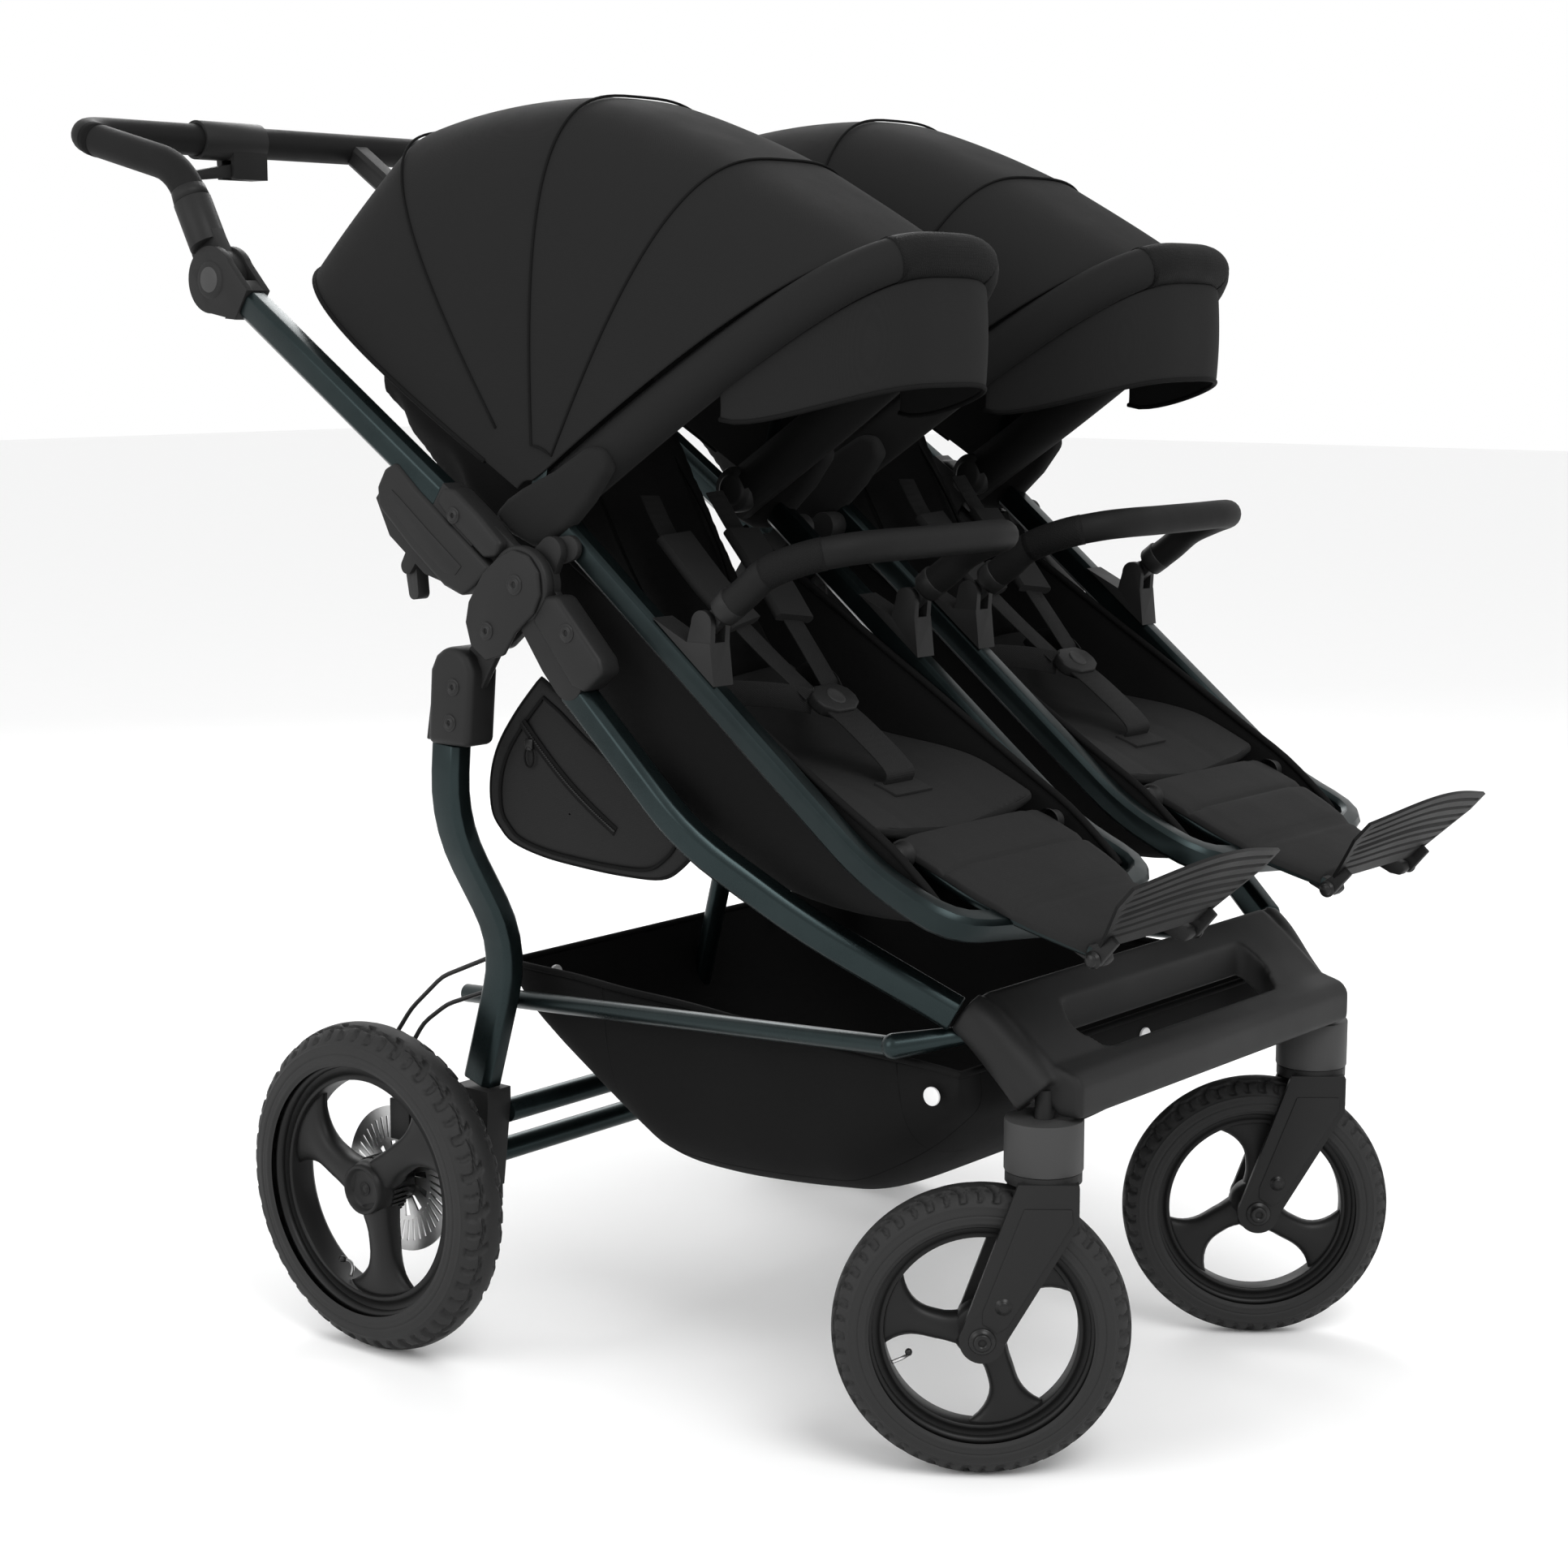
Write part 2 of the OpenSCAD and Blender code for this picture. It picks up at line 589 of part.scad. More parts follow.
module basket_outline(d) polygon([
    [80 + d, 366 + 3 * d], [98 + d, 286], [236 + d, 176 + d], [452, 190 + d], [530 - d, 240 + d],
    [592 - d, 300], [596 - d, 340 + 3 * d]
]);
module basket() on_mid() color("#1b1b1c") {
    basket_tub();
    // Hems that hang on the rails
    both() slab(basket_half - 2, rail_y - 8.8) polygon([for (q = [[120, 2], [500, 2], [500, -2],
        [120, -2]]) [q.x, rail_a.y + (q.x - rail_a.x) * rail_slope + q.y]]);
}
module basket_tub() difference() {
    hull() {
        slab(-basket_half, basket_half) intersection() {
            basket_outline(0);
            translate([0, 250]) square([800, 300]);
        }
        slab(-basket_half + 30, basket_half - 30) basket_outline(0);
    }
    hull() {
        slab(-basket_half + basket_t, basket_half - basket_t) intersection() {
            basket_outline(basket_t);
            translate([0, 250]) square([800, 300]);
        }
        slab(-basket_half + 34, basket_half - 34) basket_outline(basket_t);
    }
    // Way through for the centre post
    translate([40, -13, 150]) cube([88, 26, 300]);
}

module basket_snaps() on_mid() color("#e4e5e5") {
    both() rod([570, 318], basket_half + gap, basket_half + 3, 8);
    for (y = [-93, 22]) translate([594.9, y, 318]) rotate([0, 90, 0]) cylinder(r = 8, h = 2.6);
    for (y = [-215, 128]) translate([91.9, y, 346]) rotate([0, 90, 0]) cylinder(r = 8, h = 2.6);
}

module side_bag() on_mid() color("#1f1f20") on_side(right) {
    slab(seat_y + shell_half + gap, cheek_in - 16) offset(12) offset(-12) polygon([
        hub + [-15, -86], hub + [-66, -150], hub + [-76, -210], hub + [-50, -236], hub + [24, -242],
        hub + [118, -236], hub + [146, -214], hub + [96, -160]
    ]);
}

// ---------------------------------------------------------------- seats

rail_h = seat_half;             // a rail's distance from its seat's middle
seat_path = rounded([
    xyz(hood_pivot + [27, -21], rail_h), xyz(hub + [252, -137], rail_h),
    xyz(hub + [352, -216], rail_h), xyz(hub + [432, -250], rail_h), xyz(hub + [448, -263], 0)
], 36, 4);
module seat_rails() on_mid() color("#24302f") for (s = [right, left]) on_seat(s) {
    sweep(whole(seat_path), tube_section(rail_d / 2, rail_w / 2, 4), [0.5, 0, 0.87]);
    // Plates and pins that the hood's front turns on
    both() {
        slab(rail_h + rail_w / 2 - 2, rail_h + rail_w / 2)
            link(hood_pivot, 13, hood_pivot + [34, -27], 9);
        slab(hood_half + gap, rail_h + rail_w / 2) link(hood_pivot, 8, hood_pivot + [19, 70], 6);
        rod(hood_pivot, rail_h - 24, rail_h + rail_w / 2, pin_r);
    }
}

shell_half = rail_h - rail_w / 2 - 3;
module shell_outline(d) polygon([
    hood_pivot + [-8 + d, -34 + 4 * d], hub + [363, -200 + 4 * d], hub + [419, -240 + d],
    hub + [413, -250 + d], hub + [370, -260 + d], hub + [300, -270 + d], hub + [240, -268 + d],
    hub + [165, -234 + d], hub + [55, -184 + d], hub + [0 - 4 * d, -132], hub + [-15 - 4 * d, -40]
]);
module seat_shell_right() seat_shell(right);
module seat_shell_left() seat_shell(left);
module seat_shell(side) on_mid() color("#1b1b1c") on_seat(side) {
    difference() {
        seat_tub(shell_half, 42, 0);
        seat_tub(shell_half - 8, 42, 8);
    }
    // Pins of the backrest and the legrest, and pads against the rails
    both() {
        rod(recline, shell_half - 35, shell_half - 4, pin_r);
        rod(legrest_pivot, shell_half - 33, shell_half - 4, leg_pin);
        slab(shell_half - 1, rail_h - rail_w / 2 - gap) polygon([
            hub + [80, -75], hub + [150, -118], hub + [150, -132], hub + [80, -90]
        ]);
    }
}
module seat_tub(half, inset, d) hull() {
    slab(-half, half) intersection() {
        shell_outline(d);
        translate(hub + [-200, -205]) square([700, 400]);
    }
    slab(inset - half, half - inset) shell_outline(d);
}
leg_pin = 3;

pad_half = shell_half - 8 - gap;
module seat_pads() on_mid() color("#1e1e1f") for (s = [right, left]) on_seat(s)
    slab(-pad_half, pad_half) polygon([
        hub + [66, -112], hub + [124, -146], hub + [196, -160], hub + [264, -168], hub + [334, -200],
        hub + [334, -204], hub + [264, -190], hub + [196, -184], hub + [124, -172], hub + [56, -136]
    ]);

module harnesses() on_mid() color("#19191a") for (s = [right, left]) on_seat(s)
    slab(-24, 24) polygon([
        hub + [270, -167], hub + [280, -171], hub + [262, -150], hub + [236, -122], hub + [216, -106],
        hub + [208, -108], hub + [228, -126], hub + [256, -154]
    ]);

module buckles() on_mid() color("#161617") for (s = [right, left]) on_seat(s)
    slab(-22, 22) polygon([
        hub + [207.7, -108], hub + [215.7, -106], hub + [202, -92], hub + [186, -88],
        hub + [184, -96], hub + [198, -104]
    ]);

rim_half = hood_half - rim_r - 1.5; // half width of the hood's padded rim, to its middle
backrest_half = rim_half - rim_r - 2.5;
module backrest(s) on_mid() color("#1d1d1e") on_seat(s) difference() {
    hull() {
        slab(-backrest_half, backrest_half) polygon([
            recline + [24, 16], recline + [2, -20], recline + [-40, -24], recline + [-170, 200],
            recline + [-110, 230]
        ]);
        slab(-backrest_half, backrest_half) polygon([
            recline + [-90, 190], recline + [-172, 362], recline + [-236, 384],
            recline + [-288, 350], recline + [-304, 270], recline + [-262, 214]
        ]);
    }
    rod(recline, -200, 200, pin_r + run);
}
module backrest_right() backrest(right);
module backrest_left() backrest(left);

// The hood is a row of U-shaped bows about its pivots.
function bow_r(a) = lookup(a, [[30, 372], [62, 330], [92, 352], [125, 402], [150, 424]]);
function bow(a, t, w, r) = let (c = cos(t), q = sin(t), h = w * sign(c) * pow(abs(c), 0.62),
    d = r * pow(q, 0.62)) [hood_pivot.x + d * cos(a), h, hood_pivot.y + d * sin(a)];
function hood_start(d) = 33 + asin(min(0.95, (rim_r + 2) / d));
function hood_row(t, w, e) = let (d = bow_r(60) * pow(sin(t), 0.62), a0 = hood_start(d))
    [for (i = [0:10]) let (a = a0 + (150 - a0) * i / 10) bow(a, t, w, bow_r(a) - e)];
hood_t = 5;
module hood(s) on_mid() color("#1b1b1c") on_seat(s) shell(
    [for (k = [0:20]) hood_row(4 + 172 * k / 20, hood_half, 0)],
    [for (k = [0:20]) hood_row(4 + 172 * k / 20, hood_half - hood_t, hood_t)]
);
module hood_right() hood(right);
module hood_left() hood(left);

rim_a = 33;                     // slope of the padded rim above the horizontal
rim_len = 380;                  // from the pivots out to the middle of the rim
function rim_point(t, e = 0) = bow(rim_a, t, rim_half - e, rim_len - e);
rim_tail = hood_pivot - 16 * [cos(rim_a), sin(rim_a)];
visor_h = 84;
visor_off = (rim_r + gap) * [sin(rim_a), 0, -cos(rim_a)];
visor_t = 3;
function visor_row(t, e) = let (f = sqrt((sin(t) - sin(20)) / (1 - sin(20))),
    p = rim_point(t, e) + visor_off)
    [for (d = [5 + visor_h * f, 4 + visor_h / 2 * f, 0]) p - [0, 0, d]];
module canopy_front(s) on_mid() color("#1d1d1e") on_seat(s) {
    difference() {
        sweep([xyz(rim_tail, rim_half), for (k = [0:20]) rim_point(8 + 164 * k / 20),
            xyz(rim_tail, -rim_half)], round_section(rim_r, 12), [0.54, 0, -0.84]);
        rod(hood_pivot, -300, 300, pin_r + run);
    }
    // Visor that hangs from the rim
    shell([for (k = [0:14]) visor_row(22 + 136 * k / 14, 0)],
        [for (k = [0:14]) visor_row(22 + 136 * k / 14, visor_t)]);
}
module canopy_front_right() canopy_front(right);
module canopy_front_left() canopy_front(left);

// A point on the upper face of a seat rail, some way along from its top
rail_dir = unit(hub + [252, -137] - hood_pivot - [27, -21]);
function rail_top(d) = hood_pivot + [27, -21] + d * rail_dir
    + (rail_d / 2 + gap) * [-rail_dir.y, rail_dir.x];
ear_in = rail_h - 9.3;          // faces of the two ears that hold the bumper bar's end
ear_out = rail_h + 3.3;
module bumper_sockets() on_mid() color("#232324") for (s = [right, left]) on_seat(s) both() {
    slab(ear_in - 6, rail_h + rail_w / 2) polygon([
        rail_top(128), bumper_pivot + [-16, -16], bumper_pivot + [10, -16], rail_top(214)
    ]);
    for (y = [ear_in - 6, ear_out]) slab(y, y + 6) {
        translate(bumper_pivot) circle(11);
        polygon([for (q = [[-11, 0], [11, 0], [10, -17], [-16, -17]]) bumper_pivot + q]);
    }
    rod(bumper_pivot, ear_in - 6, ear_out + 6, pin_r);
}

bumper_dir = [0.8, 0.6];
bar_start = bumper_pivot + 17 * bumper_dir;
bumper_path = rounded([
    xyz(bar_start, rail_h - 3), xyz(bumper_pivot + [62, 46], rail_h - 3),
    xyz(bumper_pivot + [128, 66], rail_h - 30), xyz(bumper_pivot + [130, 66], 0)
], 40, 5);
module bumper_bar(s) on_mid() color("#19191a") on_seat(s) {
    sweep(whole(bumper_path), round_section(bumper_r, 12), [0.5, 0, 0.87]);
    both() slab(ear_in + gap, ear_out - gap) difference() {
        link(bumper_pivot, 10, bar_start + 4 * bumper_dir, 10);
        translate(bumper_pivot) circle(pin_r + run);
    }
}
module bumper_bar_right() bumper_bar(right);
module bumper_bar_left() bumper_bar(left);

module legrest(s) on_mid() color("#1e1e1f") on_seat(s) {
    difference() {
        union() {
            hull() {
                slab(-104, 104) polygon([legrest_pivot + [-6, 8], legrest_pivot + [-8, 0],
                    legrest_pivot + [70, -25], legrest_pivot + [72, -15]]);
                slab(-foot_w, foot_w) polygon([foot_hinge + [-14, 12], foot_hinge + [-14, 5],
                    foot_hinge + [-60, 24]]);
            }
            rod(legrest_pivot, -104, 104, 9);
        }
        rod(legrest_pivot, -110, 110, leg_pin + run);
    }
    slab(-foot_w, foot_w) link(foot_hinge, 6, foot_hinge + [-16, 8], 4);
    rod(foot_hinge, -foot_w - 9, foot_w + 9, leg_pin);
}
foot_w = 70.7;
module legrest_right() legrest(right);
module legrest_left() legrest(left);

module footplate(s) on_mid() color("#151516") on_seat(s)
    translate([foot_hinge.x, 0, foot_hinge.y]) rotate([0, -foot_a, 0]) {
        translate([12, 0, 0]) linear_extrude(foot_t, center = true) polygon([
            [0, -foot_w - 6.3], [foot_len - 28, -112], for (i = [1:7]) let (a = -78 + 156 * i / 8)
                [foot_len - 12 - 16 * (1 - cos(90 * sin(a))), 112 * sin(a) / sin(78)],
            [foot_len - 28, 112], [0, foot_w + 6.3]
        ]);
        both() slab(foot_w + gap, foot_w + 6.3) difference() {
            link([0, 0], 7, [14, 0], 3);
            circle(leg_pin + run);
        }
    }
module footplate_right() footplate(right);
module footplate_left() footplate(left);

front_beam();
side_tubes();
side_hubs();
centre_hub();
hub_pins();
basket_rails();
basket();
basket_snaps();
castor_collars();
side_bag();
seat_mounts();
seat_rails();
seat_shell_right();
seat_shell_left();
seat_pads();
harnesses();
buckles();
bumper_sockets();
hood_right();
hood_left();
push_tubes();
push_sockets();
centre_strut();
fold_levers();
handlebar();
handle_sleeves();
strut_top();
brake_housing();
tilt_button_right();
tilt_button_left();
brake_lever();
rear_legs();
leg_caps();
rear_feet();
rear_cross_tubes();
centre_post();
calipers();
brake_cables();
rear_tyre_right();
rear_tyre_left();
rear_rim_right();
rear_rim_left();
brake_disc_right();
brake_disc_left();
fork_right();
fork_left();
front_tyre_right();
front_tyre_left();
front_rim_right();
front_rim_left();
backrest_right();
backrest_left();
canopy_front_right();
canopy_front_left();
bumper_bar_right();
bumper_bar_left();
legrest_right();
legrest_left();
footplate_right();
footplate_left();
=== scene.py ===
"""Looks of a side-by-side two-seat stroller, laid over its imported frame.

Lengths in the calls are millimetres from the rear axle (x forward, y to the child's left, z up);
mm() turns them into the frame's metres.
"""
import bpy
import json
import math
from mathutils import Vector, Matrix


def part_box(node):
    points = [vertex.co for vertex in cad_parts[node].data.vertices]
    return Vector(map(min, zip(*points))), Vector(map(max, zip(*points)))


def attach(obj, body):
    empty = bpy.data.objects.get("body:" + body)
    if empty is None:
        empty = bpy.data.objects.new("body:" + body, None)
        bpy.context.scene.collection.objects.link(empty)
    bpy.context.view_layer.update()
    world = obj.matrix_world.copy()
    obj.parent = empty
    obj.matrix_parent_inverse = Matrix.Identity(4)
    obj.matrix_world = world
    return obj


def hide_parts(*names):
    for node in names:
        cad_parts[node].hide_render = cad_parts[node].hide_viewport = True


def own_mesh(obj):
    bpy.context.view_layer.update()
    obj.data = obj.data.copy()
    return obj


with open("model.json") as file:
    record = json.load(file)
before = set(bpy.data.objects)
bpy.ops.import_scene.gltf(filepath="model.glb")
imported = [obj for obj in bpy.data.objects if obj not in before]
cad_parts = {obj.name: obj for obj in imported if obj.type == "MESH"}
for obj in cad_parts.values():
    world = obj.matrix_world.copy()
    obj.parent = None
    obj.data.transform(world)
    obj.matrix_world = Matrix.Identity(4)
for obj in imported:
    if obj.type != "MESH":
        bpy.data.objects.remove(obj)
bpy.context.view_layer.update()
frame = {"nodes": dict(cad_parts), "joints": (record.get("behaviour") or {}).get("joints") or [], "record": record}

RIGHT, LEFT = -1, 1
SIDES = (("right", RIGHT), ("left", LEFT))
ENDS = (("r", RIGHT), ("l", LEFT))


def middle(node, axis):
    low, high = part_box(node)
    return (low[axis] + high[axis]) / 2


def box_centre(node):
    return Vector([middle(node, axis) for axis in range(3)])


AXLE_X = middle("rear_tyre_right", 0)
WHEEL_Z = middle("rear_tyre_right", 2)
WHEEL_Y = abs(middle("rear_tyre_right", 1)) * 1000
SEAT_Y = abs(middle("seat_shell_right", 1)) * 1000


def mm(x, y, z):
    return Vector((AXLE_X + x / 1000, y / 1000, z / 1000))


# ------------------------------------------------------------------ camera, light and floor

def aim(thing, target):
    thing.rotation_euler = (Vector(target) - thing.location).to_track_quat("-Z", "Y").to_euler()


CAMERA_AT = (1937.5, -2136.7, 942.2)
CAMERA_AZIMUTH, CAMERA_PITCH = 39.19, 8.90
CAMERA_LENS = 66.07


def place_camera():
    data = bpy.data.cameras.new("camera")
    camera = bpy.data.objects.new("camera", data)
    bpy.context.scene.collection.objects.link(camera)
    data.sensor_width = 36
    data.lens = CAMERA_LENS
    data.clip_end = 50
    camera.location = mm(*CAMERA_AT)
    camera.rotation_euler = (math.radians(90) - math.radians(CAMERA_PITCH), 0,
                             math.radians(CAMERA_AZIMUTH))
    bpy.context.scene.camera = camera


def area_light(name, place, target, size, power):
    data = bpy.data.lights.new(name, "AREA")
    data.shape = "DISK"
    data.size = size
    data.energy = power
    light = bpy.data.objects.new(name, data)
    bpy.context.scene.collection.objects.link(light)
    light.location = place
    aim(light, target)


def set_stage():
    bpy.context.scene.view_settings.view_transform = "Standard"
    place_camera()
    world = bpy.data.worlds.new("studio")
    bpy.context.scene.world = world
    world.use_nodes = True
    sky = world.node_tree.nodes["Background"].inputs
    sky["Color"].default_value = (1, 1, 1, 1)
    sky["Strength"].default_value = 1.0
    area_light("key", (2.6, -1.2, 3.2), (0.1, 0, 0.6), 2.2, 80)
    area_light("side", (-0.8, -3.4, 1.9), (0, 0, 0.6), 2.4, 40)
    area_light("back", (-2.2, 1.8, 2.6), (0, 0, 0.7), 2.0, 45)
    bpy.ops.mesh.primitive_plane_add(size=40, location=(0, 0, 0))
    floor = bpy.context.object
    floor.name = "floor"
    floor.data.materials.append(flat_stage_paint())


# ------------------------------------------------------------------ finishes

def new_group(name, inputs, outputs):
    group = bpy.data.node_groups.new(name, "ShaderNodeTree")
    for label, kind, value in inputs:
        socket = group.interface.new_socket(name=label, in_out="INPUT", socket_type=kind)
        if value is not None:
            socket.default_value = value
    for label, kind in outputs:
        group.interface.new_socket(name=label, in_out="OUTPUT", socket_type=kind)
    return group, group.nodes.new("NodeGroupInput"), group.nodes.new("NodeGroupOutput")


def add(tree, kind, **values):
    node = tree.nodes.new(kind)
    for key, value in values.items():
        setattr(node, key, value)
    return node


def feed(tree, socket, value):
    """Links an output to the socket, or sets the socket to a plain value."""
    if isinstance(value, bpy.types.NodeSocket):
        tree.links.new(value, socket)
    else:
        socket.default_value = value


def maths(tree, operation, a, b=None, clamp=False):
    node = add(tree, "ShaderNodeMath", operation=operation, use_clamp=clamp)
    feed(tree, node.inputs[0], a)
    if b is not None:
        feed(tree, node.inputs[1], b)
    return node.outputs[0]


def noise(tree, vector, scale, detail=4, roughness=0.6):
    node = add(tree, "ShaderNodeTexNoise")
    for key, value in (("Vector", vector), ("Scale", scale), ("Detail", detail),
                       ("Roughness", roughness)):
        feed(tree, node.inputs[key], value)
    return node.outputs["Fac"]


def ranged(tree, *values):
    """Maps a value from one range to another: value, from low, from high, to low, to high."""
    node = add(tree, "ShaderNodeMapRange")
    for key, value in zip(("Value", "From Min", "From Max", "To Min", "To Max"), values):
        feed(tree, node.inputs[key], value)
    return node.outputs[0]


def end_finish(group, source, sink, mask, sheen, height, depth):
    """Colour follows the mask, roughness the sheen's middle range, and relief the height."""
    colour = add(group, "ShaderNodeMix", data_type="RGBA")
    for key, value in ((0, mask), (6, source.outputs["Colour"]), (7, source.outputs["Worn"])):
        feed(group, colour.inputs[key], value)
    relief = add(group, "ShaderNodeBump")
    for key, value in (("Height", height), ("Strength", source.outputs["Relief"]),
                       ("Distance", depth)):
        feed(group, relief.inputs[key], value)
    rough = ranged(group, sheen, 0.3, 0.7, source.outputs["Smooth"], source.outputs["Rough"])
    for key, end in (("Colour", colour.outputs[2]), ("Roughness", rough),
                     ("Normal", relief.outputs["Normal"])):
        group.links.new(end, sink.inputs[key])
    return group


COLOUR_IN = [("Colour", "NodeSocketColor", (0.02, 0.02, 0.02, 1)),
             ("Worn", "NodeSocketColor", (0.05, 0.05, 0.05, 1)),
             ("Scale", "NodeSocketFloat", 900.0), ("Relief", "NodeSocketFloat", 0.3),
             ("Smooth", "NodeSocketFloat", 0.4), ("Rough", "NodeSocketFloat", 0.6)]
COLOUR_OUT = [("Colour", "NodeSocketColor"), ("Roughness", "NodeSocketFloat"),
              ("Normal", "NodeSocketVector")]


def grain_group():
    """Moulded or painted surface: a fine grain, faint mottling and a little dust low down."""
    group, source, sink = new_group("fine_grain", COLOUR_IN, COLOUR_OUT)
    place = add(group, "ShaderNodeTexCoord").outputs["Object"]
    fine = noise(group, place, source.outputs["Scale"], 3, 0.7)
    broad = noise(group, place, 14.0, 4, 0.6)
    height = add(group, "ShaderNodeSeparateXYZ")
    group.links.new(place, height.inputs[0])
    low = ranged(group, height.outputs["Z"], 0.0, 0.45, 0.35, 0.0)
    mask = maths(group, "ADD", maths(group, "MULTIPLY", broad, 0.35),
                 maths(group, "MULTIPLY", low, broad), clamp=True)
    sheen = maths(group, "ADD", maths(group, "MULTIPLY", fine, 0.4),
                  maths(group, "MULTIPLY", broad, 0.6))
    return end_finish(group, source, sink, mask, sheen, fine, 0.0003)


def weave_group():
    """Plain weave: threads over and under in all three directions, so it shows on any face."""
    group, source, sink = new_group("plain_weave", COLOUR_IN, COLOUR_OUT)
    place = add(group, "ShaderNodeTexCoord").outputs["Object"]
    warp = noise(group, place, 60.0, 2, 0.5)
    shifted = add(group, "ShaderNodeVectorMath", operation="SCALE")
    group.links.new(place, shifted.inputs[0])
    group.links.new(source.outputs["Scale"], shifted.inputs["Scale"])
    parts = add(group, "ShaderNodeSeparateXYZ")
    group.links.new(shifted.outputs[0], parts.inputs[0])
    waves = [maths(group, "SINE", maths(group, "ADD", parts.outputs[axis], warp))
             for axis in ("X", "Y", "Z")]
    threads = maths(group, "ADD", maths(group, "MULTIPLY", waves[0], waves[1]),
                    maths(group, "ADD", maths(group, "MULTIPLY", waves[1], waves[2]),
                          maths(group, "MULTIPLY", waves[2], waves[0])))
    level = maths(group, "ADD", maths(group, "MULTIPLY", threads, 0.3), 0.5, clamp=True)
    broad = noise(group, place, 9.0, 5, 0.6)
    mask = maths(group, "ADD", maths(group, "MULTIPLY", level, 0.45),
                 maths(group, "MULTIPLY", broad, 0.5), clamp=True)
    wrinkle = noise(group, place, 34.0, 3, 0.5)
    both = maths(group, "ADD", maths(group, "MULTIPLY", level, 0.35), wrinkle)
    return end_finish(group, source, sink, mask, broad, both, 0.0016)


def brushed_group():
    """Drawn metal: long fine lines, worn pale where it rubs."""
    group, source, sink = new_group("drawn_metal", COLOUR_IN, COLOUR_OUT)
    place = add(group, "ShaderNodeTexCoord").outputs["Object"]
    fine = noise(group, place, source.outputs["Scale"], 2, 0.5)
    broad = noise(group, place, 22.0, 5, 0.65)
    sheen = maths(group, "ADD", maths(group, "MULTIPLY", fine, 0.5),
                  maths(group, "MULTIPLY", broad, 0.5))
    return end_finish(group, source, sink, maths(group, "MULTIPLY", broad, 0.6), sheen, fine,
                      0.0002)


GROUPS = {"grain": grain_group(), "weave": weave_group(), "metal": brushed_group()}


def finish(name, effect, colour, worn, scale, relief, smooth, rough, **fixed):
    material = bpy.data.materials.new(name)
    material.use_nodes = True
    tree = material.node_tree
    shader = tree.nodes["Principled BSDF"]
    node = add(tree, "ShaderNodeGroup", node_tree=GROUPS[effect])
    node.inputs["Colour"].default_value = (*colour, 1)
    node.inputs["Worn"].default_value = (*worn, 1)
    for key, value in (("Scale", scale), ("Relief", relief), ("Smooth", smooth), ("Rough", rough)):
        node.inputs[key].default_value = value
    tree.links.new(node.outputs["Colour"], shader.inputs["Base Color"])
    tree.links.new(node.outputs["Roughness"], shader.inputs["Roughness"])
    tree.links.new(node.outputs["Normal"], shader.inputs["Normal"])
    for key, value in fixed.items():
        shader.inputs[key.replace("_", " ")].default_value = value
    return material


def grey(value, tint=0.0):
    return (value, value + tint, value + tint * 0.9)


def flat_stage_paint():
    return finish("floor_paper", "grain", grey(0.9), grey(0.92), 40, 0.02, 0.8, 0.9)


TUBE = finish("dark_green_tube", "metal", (0.012, 0.0195, 0.0205), (0.028, 0.04, 0.041), 1800,
              0.10, 0.24, 0.36, Metallic=0.85)
DARK_TUBE = finish("black_green_tube", "metal", (0.009, 0.014, 0.015), (0.02, 0.03, 0.03), 1800,
                   0.10, 0.26, 0.40, Metallic=0.85)
MOULDED = finish("moulded_dark", "grain", grey(0.010), grey(0.016), 1500, 0.3, 0.42, 0.6,
                 Specular_IOR_Level=0.16)
MOULDED_GREY = finish("moulded_grey", "grain", grey(0.02), grey(0.03), 1500, 0.25, 0.45, 0.6,
                      Specular_IOR_Level=0.18)
PLATE_BLACK = finish("plate_black", "grain", grey(0.006), grey(0.010), 1500, 0.25, 0.45, 0.6,
                     Specular_IOR_Level=0.1)
COLLAR = finish("collar_grey", "grain", grey(0.034), grey(0.046), 1500, 0.2, 0.45, 0.6,
                Specular_IOR_Level=0.2)
BUTTON = finish("button_grey", "grain", grey(0.035), grey(0.05), 1500, 0.15, 0.4, 0.5,
                Specular_IOR_Level=0.2)
SOFT_BLACK = finish("foam_black", "grain", grey(0.006), grey(0.010), 1200, 0.5, 0.5, 0.7,
                    Specular_IOR_Level=0.1)
RUBBER = finish("tyre_rubber", "grain", grey(0.011), grey(0.022), 900, 0.4, 0.5, 0.75,
                Specular_IOR_Level=0.24)
RIM_BLACK = finish("rim_black", "grain", grey(0.006), grey(0.010), 1500, 0.2, 0.34, 0.5,
                   Specular_IOR_Level=0.2)
STEEL = finish("bright_steel", "metal", grey(0.5), grey(0.7), 2400, 0.12, 0.24, 0.42, Metallic=1.0)
BOLT = finish("black_bolt", "metal", grey(0.012), grey(0.03), 2400, 0.1, 0.25, 0.4, Metallic=0.6,
              Specular_IOR_Level=0.3)
SNAP = finish("white_snap", "grain", grey(0.62), grey(0.72), 1500, 0.1, 0.25, 0.4)
CLOTH = finish("hood_cloth", "weave", grey(0.0085), grey(0.0145), 6500, 0.16, 0.7, 0.9,
               Specular_IOR_Level=0.06, Sheen_Weight=0.012, Sheen_Roughness=0.5)
CLOTH_DARK = finish("lining_cloth", "weave", grey(0.005), grey(0.009), 6500, 0.2, 0.75, 0.92,
                    Specular_IOR_Level=0.05, Sheen_Weight=0.01, Sheen_Roughness=0.5)
CLOTH_PAD = finish("pad_cloth", "weave", grey(0.011), grey(0.018), 5200, 0.2, 0.7, 0.9,
                   Specular_IOR_Level=0.08, Sheen_Weight=0.012, Sheen_Roughness=0.5)
PIPING = finish("piping", "weave", grey(0.004), grey(0.007), 5200, 0.2, 0.7, 0.85,
                Specular_IOR_Level=0.06)
WEBBING = finish("webbing", "weave", grey(0.008), grey(0.015), 3600, 0.5, 0.6, 0.8,
                 Specular_IOR_Level=0.1)
